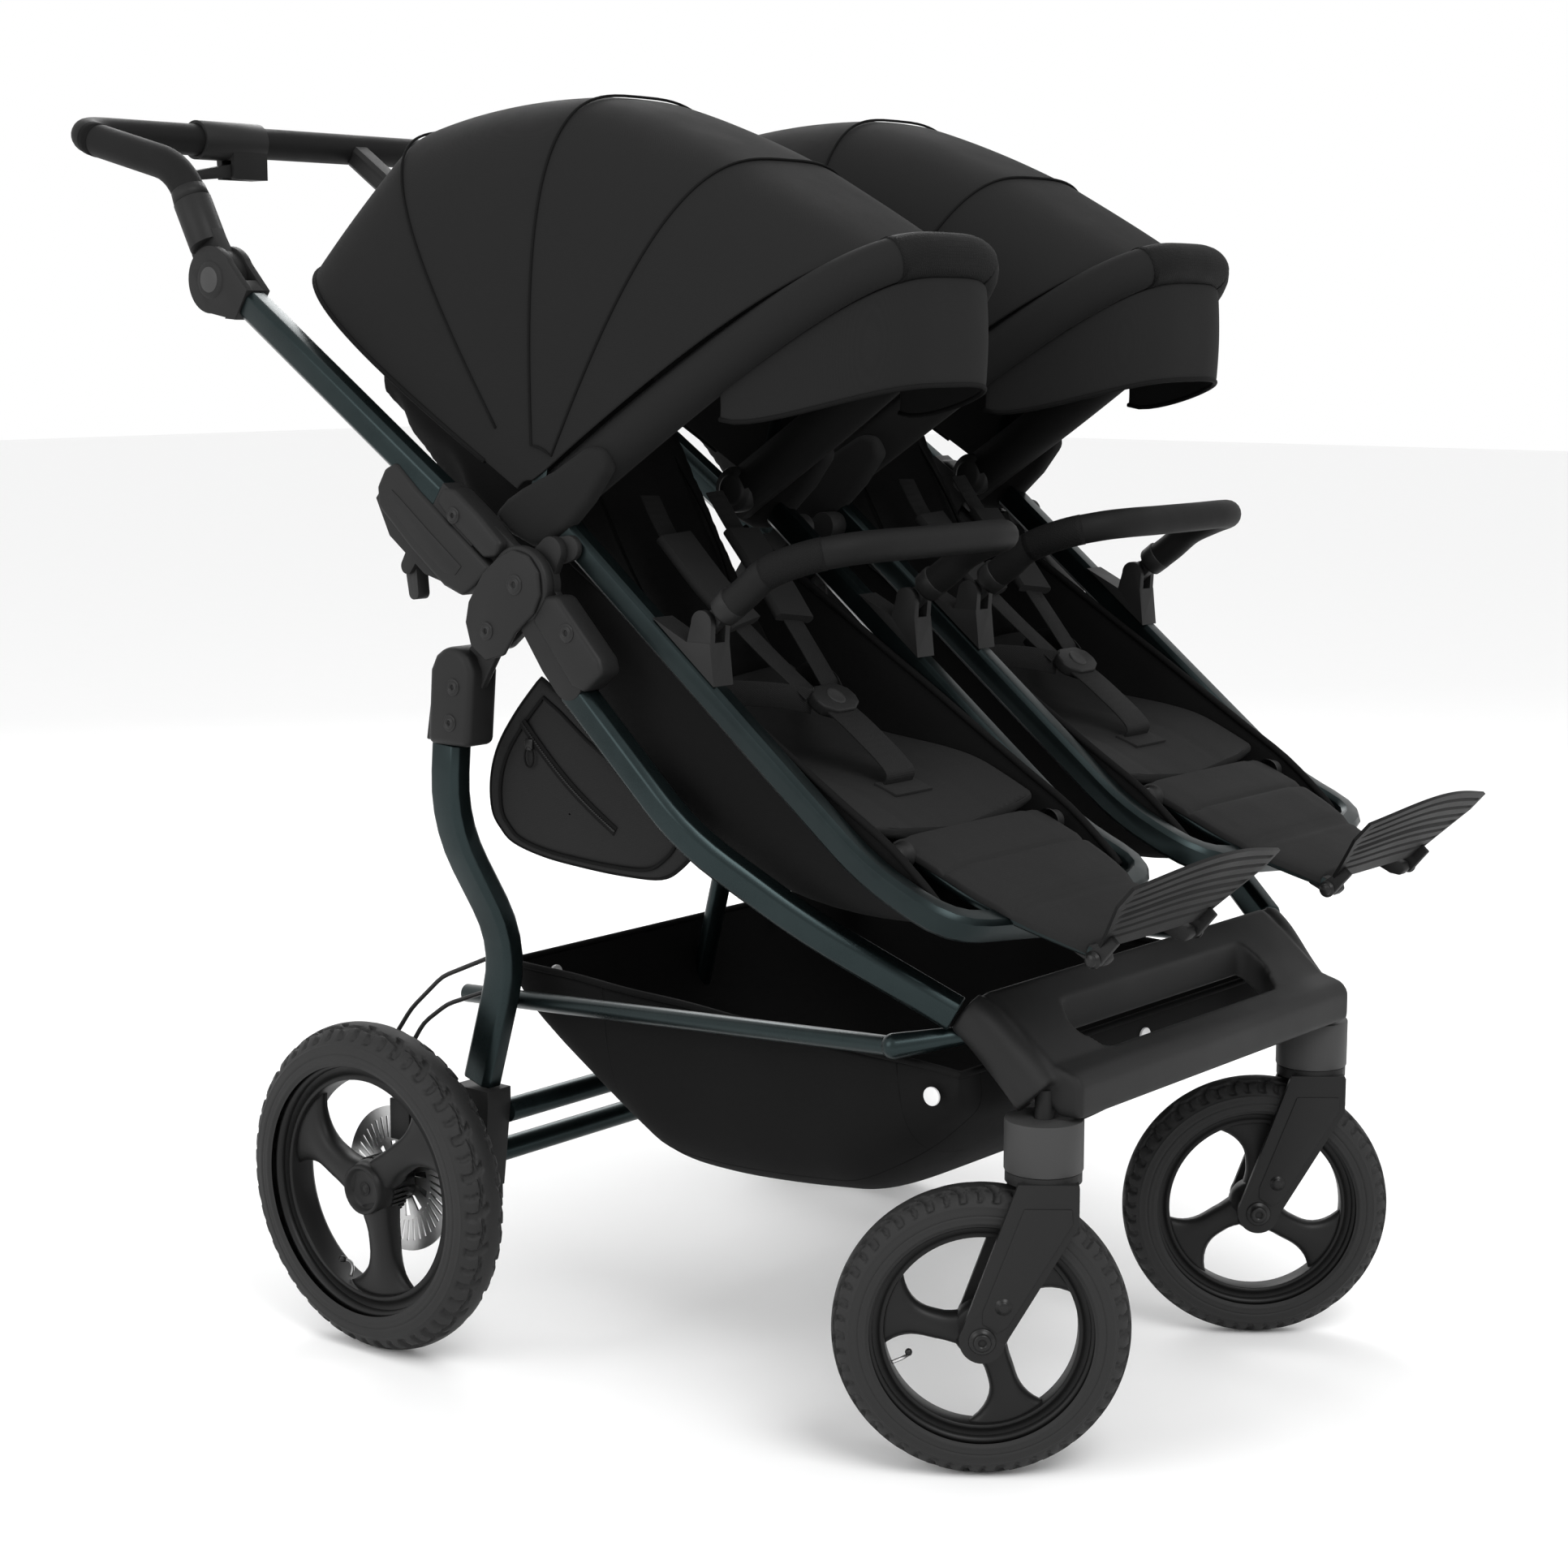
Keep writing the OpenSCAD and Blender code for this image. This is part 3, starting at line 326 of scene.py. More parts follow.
GRIP = finish("ribbed_grip", "weave", grey(0.004), grey(0.007), 2600, 0.6, 0.55, 0.75,
              Specular_IOR_Level=0.08)
CABLE = finish("cable_sleeve", "grain", grey(0.008), grey(0.015), 1500, 0.2, 0.35, 0.5,
               Specular_IOR_Level=0.3)


# ------------------------------------------------------------------ ways of making pieces

def select_only(piece):
    if bpy.context.object and bpy.context.object.mode != "OBJECT":
        bpy.ops.object.mode_set(mode="OBJECT")
    bpy.ops.object.select_all(action="DESELECT")
    piece.select_set(True)
    bpy.context.view_layer.objects.active = piece


def modify(piece, kind, **settings):
    """Adds one modifier and applies it at once."""
    select_only(piece)
    modifier = piece.modifiers.new(kind.lower(), kind)
    for key, value in settings.items():
        setattr(modifier, key, value)
    bpy.ops.object.modifier_apply(modifier=modifier.name)


def smooth(piece):
    for face in piece.data.polygons:
        face.use_smooth = True


def from_points(name, points, faces, material, body):
    mesh = bpy.data.meshes.new(name)
    mesh.from_pydata([tuple(p) for p in points], [], faces)
    mesh.validate()
    mesh.materials.append(material)
    piece = bpy.data.objects.new(name, mesh)
    bpy.context.scene.collection.objects.link(piece)
    smooth(piece)
    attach(piece, body)
    return piece


def in_edit_mode(piece, *steps):
    """Runs each step on the whole mesh of one piece."""
    select_only(piece)
    bpy.ops.object.mode_set(mode="EDIT")
    bpy.ops.mesh.select_all(action="SELECT")
    for operator, settings in steps:
        operator(**settings)
    bpy.ops.object.mode_set(mode="OBJECT")


WELD = (bpy.ops.mesh.remove_doubles, {"threshold": 0.00002})
MERGE_FLAT = (bpy.ops.mesh.dissolve_limited, {"angle_limit": math.radians(0.6)})


def outward(piece):
    in_edit_mode(piece, WELD, (bpy.ops.mesh.normals_make_consistent, {"inside": False}))


def round_edges(piece, edge, segments=2, angle=30):
    modify(piece, "BEVEL", width=edge / 1000, segments=segments, limit_method="ANGLE",
           angle_limit=math.radians(angle))


def smooth_by(piece, degrees=35):
    select_only(piece)
    bpy.ops.object.shade_smooth_by_angle(angle=math.radians(degrees))


def sheet(name, rows, material, body, thick=0.0, rounds=0, loop=False, offset=-1, cap=False):
    """A surface through rows of points; loop joins each row's ends, thick gives it a wall."""
    count, across = len(rows), len(rows[0])
    points = [p for row in rows for p in row]
    faces = []
    last = across if loop else across - 1
    for i in range(count - 1):
        for j in range(last):
            k = (j + 1) % across
            faces.append((i * across + j, (i + 1) * across + j, (i + 1) * across + k,
                          i * across + k))
    if cap:
        faces.append(tuple(range(across)))
        faces.append(tuple((count - 1) * across + j for j in reversed(range(across))))
    piece = from_points(name, points, faces, material, body)
    outward(piece)
    if thick:
        modify(piece, "SOLIDIFY", thickness=thick / 1000, offset=offset)
    if rounds:
        modify(piece, "SUBSURF", levels=rounds, render_levels=rounds)
    smooth(piece)
    return piece


def tube(name, path, radius, material, body, sides=14, close=False, up=(0, 0, 1)):
    """A round bar along a path of points; radius may be one number for each point."""
    path = [Vector(p) for p in path]
    count = len(path)
    radii = radius if isinstance(radius, (list, tuple)) else [radius] * count
    side = Vector(up)
    rows = []
    for i, point in enumerate(path):
        before = path[i - 1] if i or close else point
        after = path[(i + 1) % count] if i < count - 1 or close else point
        ahead = (after - before).normalized()
        side = (side - ahead * side.dot(ahead)).normalized()
        other = ahead.cross(side)
        rows.append([point + (side * math.cos(2 * math.pi * k / sides)
                              + other * math.sin(2 * math.pi * k / sides)) * radii[i] / 1000
                     for k in range(sides)])
    if close:
        rows.append(rows[0])
    return sheet(name, rows, material, body, loop=True, cap=not close)


def curve_through(points, steps=6):
    """A smooth path through a few points."""
    points = [Vector(p) for p in points]
    out = []
    for i in range(len(points) - 1):
        p0, p1 = points[max(i - 1, 0)], points[i]
        p2, p3 = points[i + 1], points[min(i + 2, len(points) - 1)]
        for k in range(steps):
            t = k / steps
            out.append(0.5 * (2 * p1 + (p2 - p0) * t + (2 * p0 - 5 * p1 + 4 * p2 - p3) * t * t
                              + (3 * p1 - p0 - 3 * p2 + p3) * t ** 3))
    return out + [points[-1]]


def turned(name, profile, centre, axis, material, body, steps=64, start=(0, 0, 1)):
    """A lathe-turned piece: profile is a list of (radius, height along the axis)."""
    axis = Vector(axis).normalized()
    side = Vector(start)
    side = (side - axis * side.dot(axis)).normalized()
    other = axis.cross(side)
    rows = [[Vector(centre) + axis * h / 1000 + (side * math.cos(2 * math.pi * k / steps)
             + other * math.sin(2 * math.pi * k / steps)) * max(r, 0.01) / 1000
             for k in range(steps)] for r, h in profile]
    return sheet(name, rows, material, body, loop=True)


def prism(name, near, far, material, body, edge, segments=2):
    """A solid between two outlines with matching points, its edges rounded."""
    count = len(near)
    faces = [tuple(range(count)), tuple(reversed(range(count, 2 * count)))]
    faces += [(i, (i + 1) % count, count + (i + 1) % count, count + i) for i in range(count)]
    piece = from_points(name, near + far, faces, material, body)
    outward(piece)
    if edge:
        round_edges(piece, edge, segments)
    smooth_by(piece, 40)
    return piece


def block(name, outline, y0, y1, material, body, edge=1.5, segments=2):
    """An outline in the side view given a width."""
    near, far = ([mm(x, y, z) for x, z in outline] for y in (y0, y1))
    return prism(name, near, far, material, body, edge, segments)


def copy_of(node, name, material, *steps):
    """A welded copy of a CAD node in one material; steps run on its mesh after the weld."""
    piece = frame["nodes"][node].copy()
    piece.data = piece.data.copy()
    piece.name = piece.data.name = name
    bpy.context.scene.collection.objects.link(piece)
    piece.data.materials.clear()
    piece.data.materials.append(material)
    for face in piece.data.polygons:
        face.material_index = 0
    in_edit_mode(piece, WELD, *steps)
    return piece


def cad_copy(node, material, edge):
    """A CAD node with its sharp edges rounded, in its own place."""
    piece = copy_of(node, node + "_shaped", material, MERGE_FLAT)
    if edge:
        round_edges(piece, edge, 2, 28)
    smooth_by(piece, 32)
    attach(piece, body_of[node])
    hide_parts(node)


body_of = {node: body for body, nodes in frame["record"]["behaviour"]["bodies"].items()
           for node in nodes}


def join(name, pieces):
    select_only(pieces[0])
    for piece in pieces:
        piece.select_set(True)
    bpy.ops.object.join()
    pieces[0].name = pieces[0].data.name = name
    return pieces[0]


# ------------------------------------------------------------------ bag and basket


def side_bag():
    """Pouch on the right-hand side tube: soft faces, piping, a zip and its loop pull."""
    outline = [(190, 644), (160, 612), (137, 580), (127, 550), (128, 521), (139, 505),
               (155, 494), (190, 486), (234, 482), (284, 480), (329, 482), (352, 494), (368, 512),
               (366, 530)]
    ring = curve_through([Vector((x, 0, z)) for x, z in outline], 5)
    ring += [Vector((350, 0, 548)), Vector((316, 0, 567)), Vector((282, 0, 586)),
             Vector((248, 0, 606)), Vector((214, 0, 630))]
    centre = sum(ring, Vector()) / len(ring)

    def at(point, y, f):
        return mm(centre.x + (point.x - centre.x) * f, y, centre.z + (point.z - centre.z) * f)

    profile = [(-334.5, 0.01), (-334.3, 0.4), (-333.4, 0.72), (-331.6, 0.84), (-331.2, 0.86),
               (-333.0, 0.90), (-332.4, 0.96), (-330, 0.995), (-326, 1.0), (-323, 0.97),
               (-321.4, 0.8), (-321.2, 0.01)]
    bag = sheet("bag_cloth", [[at(p, y, f) for p in ring] for y, f in profile], CLOTH_PAD,
                "chassis", loop=True)
    smooth_by(bag, 60)
    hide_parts("side_bag")
    for name, y, f in (("bag_piping", -329.6, 1.0), ("bag_panel_piping", -332.8, 0.86)):
        tube(name, [at(p, y, f) for p in ring], 1.7, PIPING, "chassis", 8, close=True)
    # Zip set between two tapes
    line = curve_through([mm(171, -335.2, 604), mm(196, -335.4, 580), mm(224, -335.6, 556),
                          mm(252, -335.4, 536), mm(281, -335, 518)], 8)
    ribbon("zip_tape", line, 9, 0.9, PIPING, "chassis", across=(0.7, 0, 0.7))
    teeth = []
    for a, b in zip(line, line[1:]):
        for f in (0.0, 0.5):
            point = a.lerp(b, f)
            teeth.append(block("zip_tooth", [(-1.3, -0.6), (1.3, -0.6), (1.3, 0.6), (-1.3, 0.6)],
                               -0.5, 0.5, BOLT, "chassis", 0))
            teeth[-1].data.transform(Matrix.Translation(point - mm(0, 0, 0)
                                                        + Vector((0, -0.0007, 0))))
    join("zip_teeth", teeth)
    turns = [math.radians(22.5 * k) for k in range(16)]
    tube("zip_pull", [mm(181 + 5.5 * math.sin(t), -337.2, 583 - 9 * (1 - math.cos(t)))
                      for t in turns], 0.9, PIPING, "chassis", 8, close=True)
    block("zip_slider", [(176, 590), (186, 590), (185, 580), (177, 580)], -338, -335, BOLT,
          "chassis", 0.8)


BASKET_LINE = [(80, 364), (84, 338), (93, 304), (112, 272), (150, 238), (196, 203), (236, 180),
               (290, 176), (350, 179), (410, 185), (452, 192), (492, 214), (530, 241),
               (566, 274), (590, 302), (594, 338)]


def basket():
    """Deep cloth tub under the seats: sagging walls, hem, seams and piping."""
    spine = curve_through([Vector((x, 0, z)) for x, z in BASKET_LINE], 4)
    rows = []
    for p in spine:
        top = 364 - 24 * (p.x - 80) / 514
        depth = top - p.z
        row = []
        for k in range(49):
            a = math.radians(-90 + 180 * k / 48)
            sag = 3.0 * math.sin((p.x - 80) / 514 * math.pi) * math.cos(a) ** 4
            crease = 1.6 * math.sin(p.x / 21 + 3 * math.sin(a)) * (1 - abs(math.cos(a)) ** 0.4)
            half = 262 - 26 * math.cos(a) ** 0.6 * min(1, depth / 90)
            y = (half + crease) * math.copysign(abs(math.sin(a)) ** 0.34, a)
            row.append(mm(p.x, y, top - (depth + sag) * max(math.cos(a), 0) ** 0.42))
        rows.append(row)
    tub = sheet("basket_cloth", rows, CLOTH_DARK, "chassis", thick=2.2, rounds=1, offset=0)
    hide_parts("basket")
    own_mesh(tub)
    hem = [row[0] for row in rows] + rows[-1][1:-1] + [row[-1] for row in reversed(rows)]
    hem += list(reversed(rows[0][1:-1]))
    rail = tube("basket_hem", hem, 3.2, PIPING, "chassis", 10, close=True)
    seams = []
    for number, column in enumerate((12, 36)):
        path = [row[column] for row in rows[10:]]
        seams.append(tube("basket_floor_seam_%d" % number, path, 1.4, PIPING, "chassis", 8))
    for number, index in enumerate((20, 48)):
        seams.append(tube("basket_wall_seam_%d" % number, rows[index][:20], 1.2, PIPING,
                          "chassis", 8))
        seams.append(tube("basket_far_seam_%d" % number, rows[index][-20:], 1.2, PIPING,
                          "chassis", 8))
    for piece in [rail] + seams:
        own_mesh(piece)


# ------------------------------------------------------------------ handle

def corner(a, b, c, reach, steps):
    """Rounds the corner b of the path a-b-c."""
    start = b + (a - b).normalized() * reach / 1000
    end = b + (c - b).normalized() * reach / 1000
    return [start * (1 - t) ** 2 + b * 2 * t * (1 - t) + end * t * t
            for t in (k / steps for k in range(steps + 1))]


TILT = (-183.82, 991.26)
BAR = (-399.82, 1135.26)


def handle_cover():
    """Foam round the U-shaped bar, with ribbed bands at the bends."""
    lean = Vector((-0.47, 0, 0.883))

    def up_arm(reach, y):
        return mm(TILT[0] + lean.x * reach, y, TILT[1] + lean.z * reach)

    half = [up_arm(82.5, -362), up_arm(118, -362), mm(BAR[0], -362, BAR[1]), mm(BAR[0], 0, BAR[1])]
    path = [half[0]] + corner(half[0], half[1], half[2], 30, 8)
    path += corner(half[1], half[2], half[3], 44, 12)
    path += [half[2].lerp(half[3], f) for f in (0.3, 0.5, 0.7, 0.9)]
    path += [Vector((p.x, -p.y, p.z)) for p in reversed(path)]
    foam = tube("handle_foam", path, 15.8, SOFT_BLACK, "handle", 24)
    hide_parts("handlebar")
    for name, s in SIDES:
        bend = [Vector((p.x, s * -p.y, p.z)) for p in path[10:26]]
        tube("handle_cuff_" + name, bend[:3], 16.2, PIPING, "handle", 24)
        foot = Vector((half[0].x, s * -half[0].y, half[0].z))
        tube("handle_end_" + name, [foot, foot + lean * 0.012], [17.6, 16.4], MOULDED,
             "handle", 24)
        turned("tilt_cap_" + name, [(0, 3.0), (15, 2.8), (17.5, 1.8), (18.5, 0.4), (21, 0.2),
                                    (25, 0.0), (27.5, -1.6), (28.6, -5)],
               mm(TILT[0], s * 374.6, TILT[1]), (0, s, 0), MOULDED, "handle", 48)


# ------------------------------------------------------------------ hubs and small fittings

# Distance from the middle to the outer faces that carry the screws
CLAMP_FACE, SOCKET_FACE, LOBE_FACE, LEG_FACE = 376.4, 375.6, 379.2, 380.2


def fittings():
    """Covers, clamp, pivot plate, socket and leg sleeve on each side, with their screws."""
    for name, s in SIDES:
        out = (0, s, 0)
        # Long cover beside the push tube, with a sunk panel
        block("push_cover_" + name, [(36, 808), (37, 790), (78, 754), (118, 724),
              (140, 716), (156, 726), (176, 742), (132, 774), (88, 806), (60, 830),
              (46, 824)], s * 351.5, s * 377.5, MOULDED, "push_frame", 4.0, 3)
        turned("push_knuckle_" + name, [(30, -23), (30, -1.5), (28.5, 0), (0, 0)],
               mm(205, s * 373.6, 729), out, MOULDED, "push_frame", 48)
        block("cover_panel_" + name, [(52, 800), (54, 790), (84, 763), (120, 736), (134, 734),
              (142, 742), (104, 770), (66, 799), (56, 806)], s * 377.0, s * 378.3, MOULDED,
              "push_frame", 0.9, 2)
        block("tube_clamp_" + name, [(108, 798), (128, 778), (166, 750), (182, 752), (188, 764),
              (160, 788), (132, 808), (118, 810)], s * 351, s * 376.2, MOULDED, "push_frame",
              4.5, 3)
        screw("clamp_screw_" + name, mm(131, s * CLAMP_FACE, 786), out, 5.0, "push_frame")
        # Round plate over the main pivot, running down to a second lobe and the front socket
        block("pivot_plate_" + name, [(150, 712), (146, 694), (152, 674), (170, 662), (192, 668),
              (206, 688), (228, 706), (236, 722), (234, 742), (222, 756), (204, 760), (186, 752),
              (168, 738)], s * 374.2, s * 379.0, MOULDED, "chassis", 2.2, 3)
        turned("pivot_ring_" + name, [(31, -12), (33, -11), (34, -8), (34, -2), (32.6, 0.2),
                                      (30, 0.6), (28, 0.2)], mm(206, s * 374.2, 729), out,
               MOULDED, "chassis", 56)
        screw("pivot_screw_" + name, mm(207, s * LOBE_FACE, 730), out, 6.0, "chassis")
        screw("lobe_screw_" + name, mm(172, s * LOBE_FACE, 688), out, 5.4, "chassis")
        block("front_socket_" + name, [(222, 700), (238, 722), (252, 722), (300, 672), (304, 660),
              (282, 642), (268, 646)], s * 349, s * 375.4, MOULDED, "chassis", 4.5, 3)
        screw("socket_screw_" + name, mm(264, s * SOCKET_FACE, 692), out, 5.6, "chassis")
        # Leg sleeve with a domed top, and its two screws
        block("leg_sleeve_" + name, [(96, 583), (101, 650), (108, 663), (120, 671), (136, 671),
              (147, 663), (153, 650), (147, 583)], s * 344, s * 380, MOULDED, "rear_frame", 7, 4)
        for number, (x, z) in enumerate(((131, 636), (126, 604))):
            screw("leg_screw_%d_%s" % (number, name), mm(x, s * LEG_FACE, z), out, 5.2,
                  "rear_frame")


def front_beam():
    """The moulded beam between the castors: sloping panel, wide slot, crowns and arms."""
    parts = [block("beam_panel", [(589, 399), (598, 404), (622, 385), (662, 352), (684, 346),
                   (691, 338), (691, 310), (668, 309), (640, 336), (594, 376)], -226, 226,
                   MOULDED, "chassis", 3, 2)]
    plan = [(619, -150), (619, 146), (640, 152), (662, 138), (662, -142), (640, -164)]
    low, high = ([mm(x, y, z) for x, y in plan] for z in (280, 440))
    cutter = prism("slot_cutter", low, high, MOULDED, "chassis", 7, 3)
    modify(parts[0], "BOOLEAN", operation="DIFFERENCE", object=cutter, solver="EXACT")
    bpy.data.objects.remove(cutter, do_unlink=True)
    for s in (RIGHT, LEFT):
        parts.append(turned("crown", [(0, 306.5), (31.5, 306.5), (31.8, 325), (31, 336), (27, 342),
                                      (18, 346), (0, 347)], mm(654, s * 224, 0), (0, 0, 1),
                            MOULDED, "chassis", 56))
        arm = curve_through([mm(650, s * 224, 325), mm(630, s * 228, 346), mm(604, s * 236, 374),
                             mm(586, s * 241, 388)], 5)
        parts.append(tube("arm", arm, [24 - 5 * i / (len(arm) - 1) for i in range(len(arm))],
                          MOULDED, "chassis", 24))
    beam = join("front_beam_moulded", parts)
    modify(beam, "REMESH", mode="VOXEL", voxel_size=0.0022)
    modify(beam, "SMOOTH", factor=0.6, iterations=6)
    smooth(beam)
    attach(beam, "chassis")
    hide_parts("front_beam")
    # Mould line across the panel's front
    tube("beam_line", curve_through([mm(666, -190, 349.6), mm(667, 0, 349.8), mm(666, 190, 349.6)],
                                    8), 0.9, PLATE_BLACK, "chassis", 6)


FORK_OUT = 34


def fork_fittings():
    """Raised panel, axle nut and rivet on the outer face of each fork blade."""
    for name, s in SIDES:
        body = "castor_" + name
        joint = next(j for j in frame["joints"] if j["child"] == "front_wheel_" + name)
        axis, centre = Vector(joint["axis"]), Vector(joint["pos_m"])
        pivot = mm(654, s * 224, centre.z * 1000)
        ahead = (pivot - centre).normalized()
        for end, t in ENDS:
            out = axis * (1 if axis.y * t > 0 else -1)

            def place(x, z, proud):
                return pivot + ahead * x / 1000 + Vector((0, 0, z - centre.z * 1000)) / 1000 \
                    + out * (FORK_OUT + proud) / 1000

            # Raised panel down the blade
            outline = [(-17, 238), (22, 238), (23, 226), (-29, 138), (-38, 132), (-50, 140),
                       (-50, 150)]
            low, high = ([place(x, z, d) for x, z in outline] for d in (-0.5, 1.3))
            prism("fork_panel_%s_%s" % (name, end), low, high, MOULDED, body, 1.1)
            turned("axle_nut_%s_%s" % (name, end),
                   [(0, 4.0), (3.4, 4.0), (3.6, 5.6), (6.4, 5.6), (7.4, 4.6), (7.6, 2.2),
                    (10.2, 1.6), (11.4, 0.6), (11.6, -1)], place(-50, 125, 0), out, BOLT, body, 32)
            turned("fork_rivet_%s_%s" % (name, end),
                   [(0, 2.6), (3.4, 2.5), (4.8, 1.6), (5.2, 0.6), (7.2, 0.4), (7.4, -1)],
                   place(-33, 155, 1.0), out, BOLT, body, 24)


# ------------------------------------------------------------------ wheels

def tread_height(turn, across):
    """Depth of the tread's grooves: swept blocks, mirrored left and right, and a wavy middle."""
    def notch(value, half):
        gap = abs((value + 0.5) % 1.0 - 0.5)
        return 1.0 if gap < half else max(0.0, 1.0 - (gap - half) / 0.05)
    side = 0.5 if across < 0 else 0.0
    reach = abs(across)
    sweep = turn * 26 - 0.9 * reach + 0.55 * reach ** 3 + side
    cut = notch(sweep, 0.085) if reach > 0.2 else 0.0
    fine = notch(sweep + 0.5, 0.045) * 0.8 if reach > 0.5 else 0.0
    wave = abs(reach - 0.42 - 0.05 * math.sin(turn * 26 * 2 * math.pi))
    ring = 1.0 if wave < 0.035 else max(0.0, 1.0 - (wave - 0.035) / 0.03)
    return max(cut, fine, ring * 0.8)


def tyre(name, centre, axis, radius, half, rim_at, body, node, steps=540):
    """A pneumatic tyre with moulded sidewall rings and a swept tread, made on one grid."""
    axis = Vector(axis).normalized()
    up = Vector((0, 0, 1))
    ahead = up.cross(axis)
    profile = []
    core = radius - half
    for k in range(85):
        a = math.radians(-112 + 224 * k / 84)
        profile.append((core + half * math.cos(a), half * math.sin(a), a))
    rows = []
    for r, h, a in profile:
        row = []
        crown = math.degrees(abs(a))
        for i in range(steps):
            turn = i / steps
            depth = 0.0
            if crown < 62:
                fade = min(1.0, (62 - crown) / 6)
                depth = 2.8 * tread_height(turn, a / math.radians(62)) * fade
            ring = 0.0
            for at, width, high in ((70, 2.2, 0.7), (88, 1.6, -0.7), (103, 3.0, 0.9)):
                ring += high * math.exp(-((crown - at) / width) ** 2)
            rr = r + (ring - depth) * math.cos(a)
            hh = h + (ring - depth) * math.sin(a)
            if rr < rim_at:
                rr = rim_at
            t = 2 * math.pi * turn
            row.append(Vector(centre) + (up * math.cos(t) + ahead * math.sin(t)) * rr / 1000
                       + axis * hh / 1000)
        rows.append(row)
    piece = sheet(name, rows, RUBBER, body, loop=True)
    smooth_by(piece, 40)
    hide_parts(node)


def spoke_web(name, centre, axis, inner, outer, waist, depth, body, lean=0.0):
    """Three broad spokes that flare into the hub and the rim, crowned across."""
    axis = Vector(axis).normalized()
    up = Vector((0, 0, 1))
    ahead = up.cross(axis)

    def spot(r, t, h):
        return (Vector(centre) + (up * math.cos(t) + ahead * math.sin(t)) * r / 1000
                + axis * h / 1000)

    made = []
    for spoke in range(3):
        rows = []
        for i in range(15):
            f = i / 14
            r = inner + (outer - inner) * f
            flare = 1.9 * max(0.0, f - 0.45) ** 2.2 * 4 + 1.1 * max(0.0, 0.25 - f) * 2
            half = waist * (1 + flare)
            bend = math.radians(120 * spoke + 62 + 14 * f + lean)
            row = []
            for k in range(11):
                c = -1 + 2 * k / 10
                t = bend + c * half / r
                high = depth * (0.16 + 0.34 * (1 - c * c) ** 0.5) * (1.15 - 0.4 * f)
                row.append((r, t, high))
            rows.append(row)
        ring = [[spot(r, t, h) for r, t, h in row] + [spot(r, t, -h) for r, t, h in row[::-1]]
                for row in rows]
        made.append(sheet(name + str(spoke), ring, RIM_BLACK, body, loop=True, cap=True))
    return join(name, made)


# Tyre radius, half width and the rim's radius under the bead
REAR_TYRE = (155.3, 26.8, 116)
FRONT_TYRE = (124.8, 22.8, 90.5)
# Middle radius of the splines on the rear hub, and one spline's size, in metres
SPLINE_RADIUS = 0.0268
SPLINE = (0.0026, 0.018, 0.003)


def rear_wheel(side_name, s):
    """Tyre, rim, three spokes, hub with splines, disc and valve."""
    body = "rear_wheel_" + side_name
    centre = mm(0, s * WHEEL_Y, WHEEL_Z * 1000)
    out = (0, s, 0)
    tyre("rear_tread_" + side_name, centre, out, *REAR_TYRE, body,
         "rear_tyre_" + side_name)
    turned("rear_felloe_" + side_name, [
        (116.5, -19), (121, -18), (122.5, -15), (119, -12), (113, -9), (108, -11), (104, -15),
        (102.5, -12), (102.8, 0), (102.5, 12), (104, 15), (108, 11), (113, 9), (119, 12),
        (122.5, 15), (121, 18), (116.5, 19), (115.5, 10), (115.5, -10), (116.5, -19)],
        centre, out, RIM_BLACK, body, 96)
    web = spoke_web("rear_spokes_" + side_name, centre, out, 17, 106, 15, 26, body, 20 * s)
    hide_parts("rear_rim_" + side_name)
    turned("rear_nave_" + side_name, [
        (6.1, -31), (20, -31), (21, -29), (21, -14), (26, -12), (27, 6), (25.5, 11), (24, 14),
        (23.5, 18.5), (21.5, 19.6), (20, 18.8), (19, 15), (16, 13.4), (9, 12.8), (5, 13.2),
        (4.4, 14.6), (0, 14.9)], centre, out, RIM_BLACK, body, 72)
    teeth = []
    for k in range(36):
        t = math.radians(10 * k)
        at = centre + Vector((math.sin(t) * SPLINE_RADIUS, s * -0.006,
                             math.cos(t) * SPLINE_RADIUS))
        bpy.ops.mesh.primitive_cube_add(size=1, location=at, rotation=(0, t, 0))
        tooth = bpy.context.object
        tooth.scale = SPLINE
        bpy.ops.object.transform_apply(location=True, rotation=True, scale=True)
        teeth.append(tooth)
    ring = join("rear_splines_" + side_name, teeth)
    ring.data.materials.append(RIM_BLACK)
    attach(ring, body)
    brake_disc("slotted_disc_" + side_name, side_name, body)
    valve("rear_valve_" + side_name, centre, Vector((0, s, 0)), 100, 200, body)


def brake_disc(name, side_name, body):
    """A steel disc with rows of slots and open windows near its hub."""
    centre = box_centre("brake_disc_" + side_name)
    rings = [19, 36, 40, 60, 64, 69.5]
    sectors = 132
    points, faces = [], []
    for r in rings:
        for k in range(sectors):
            t = 2 * math.pi * k / sectors + (r - 40) * 0.006
            points.append(centre + Vector((math.sin(t) * r / 1000, 0, math.cos(t) * r / 1000)))
    for i in range(len(rings) - 1):
        for k in range(sectors):
            slot = i == 2 and k % 3 == 0
            window = i == 0 and k % 11 in (4, 5, 6, 7)
            if slot or window:
                continue
            n = (k + 1) % sectors
            faces.append((i * sectors + k, i * sectors + n, (i + 1) * sectors + n,
                          (i + 1) * sectors + k))
    piece = from_points(name, points, faces, STEEL, body)
    outward(piece)
    modify(piece, "SOLIDIFY", thickness=0.0018, offset=0)
    smooth_by(piece, 30)
    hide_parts("brake_disc_" + side_name)


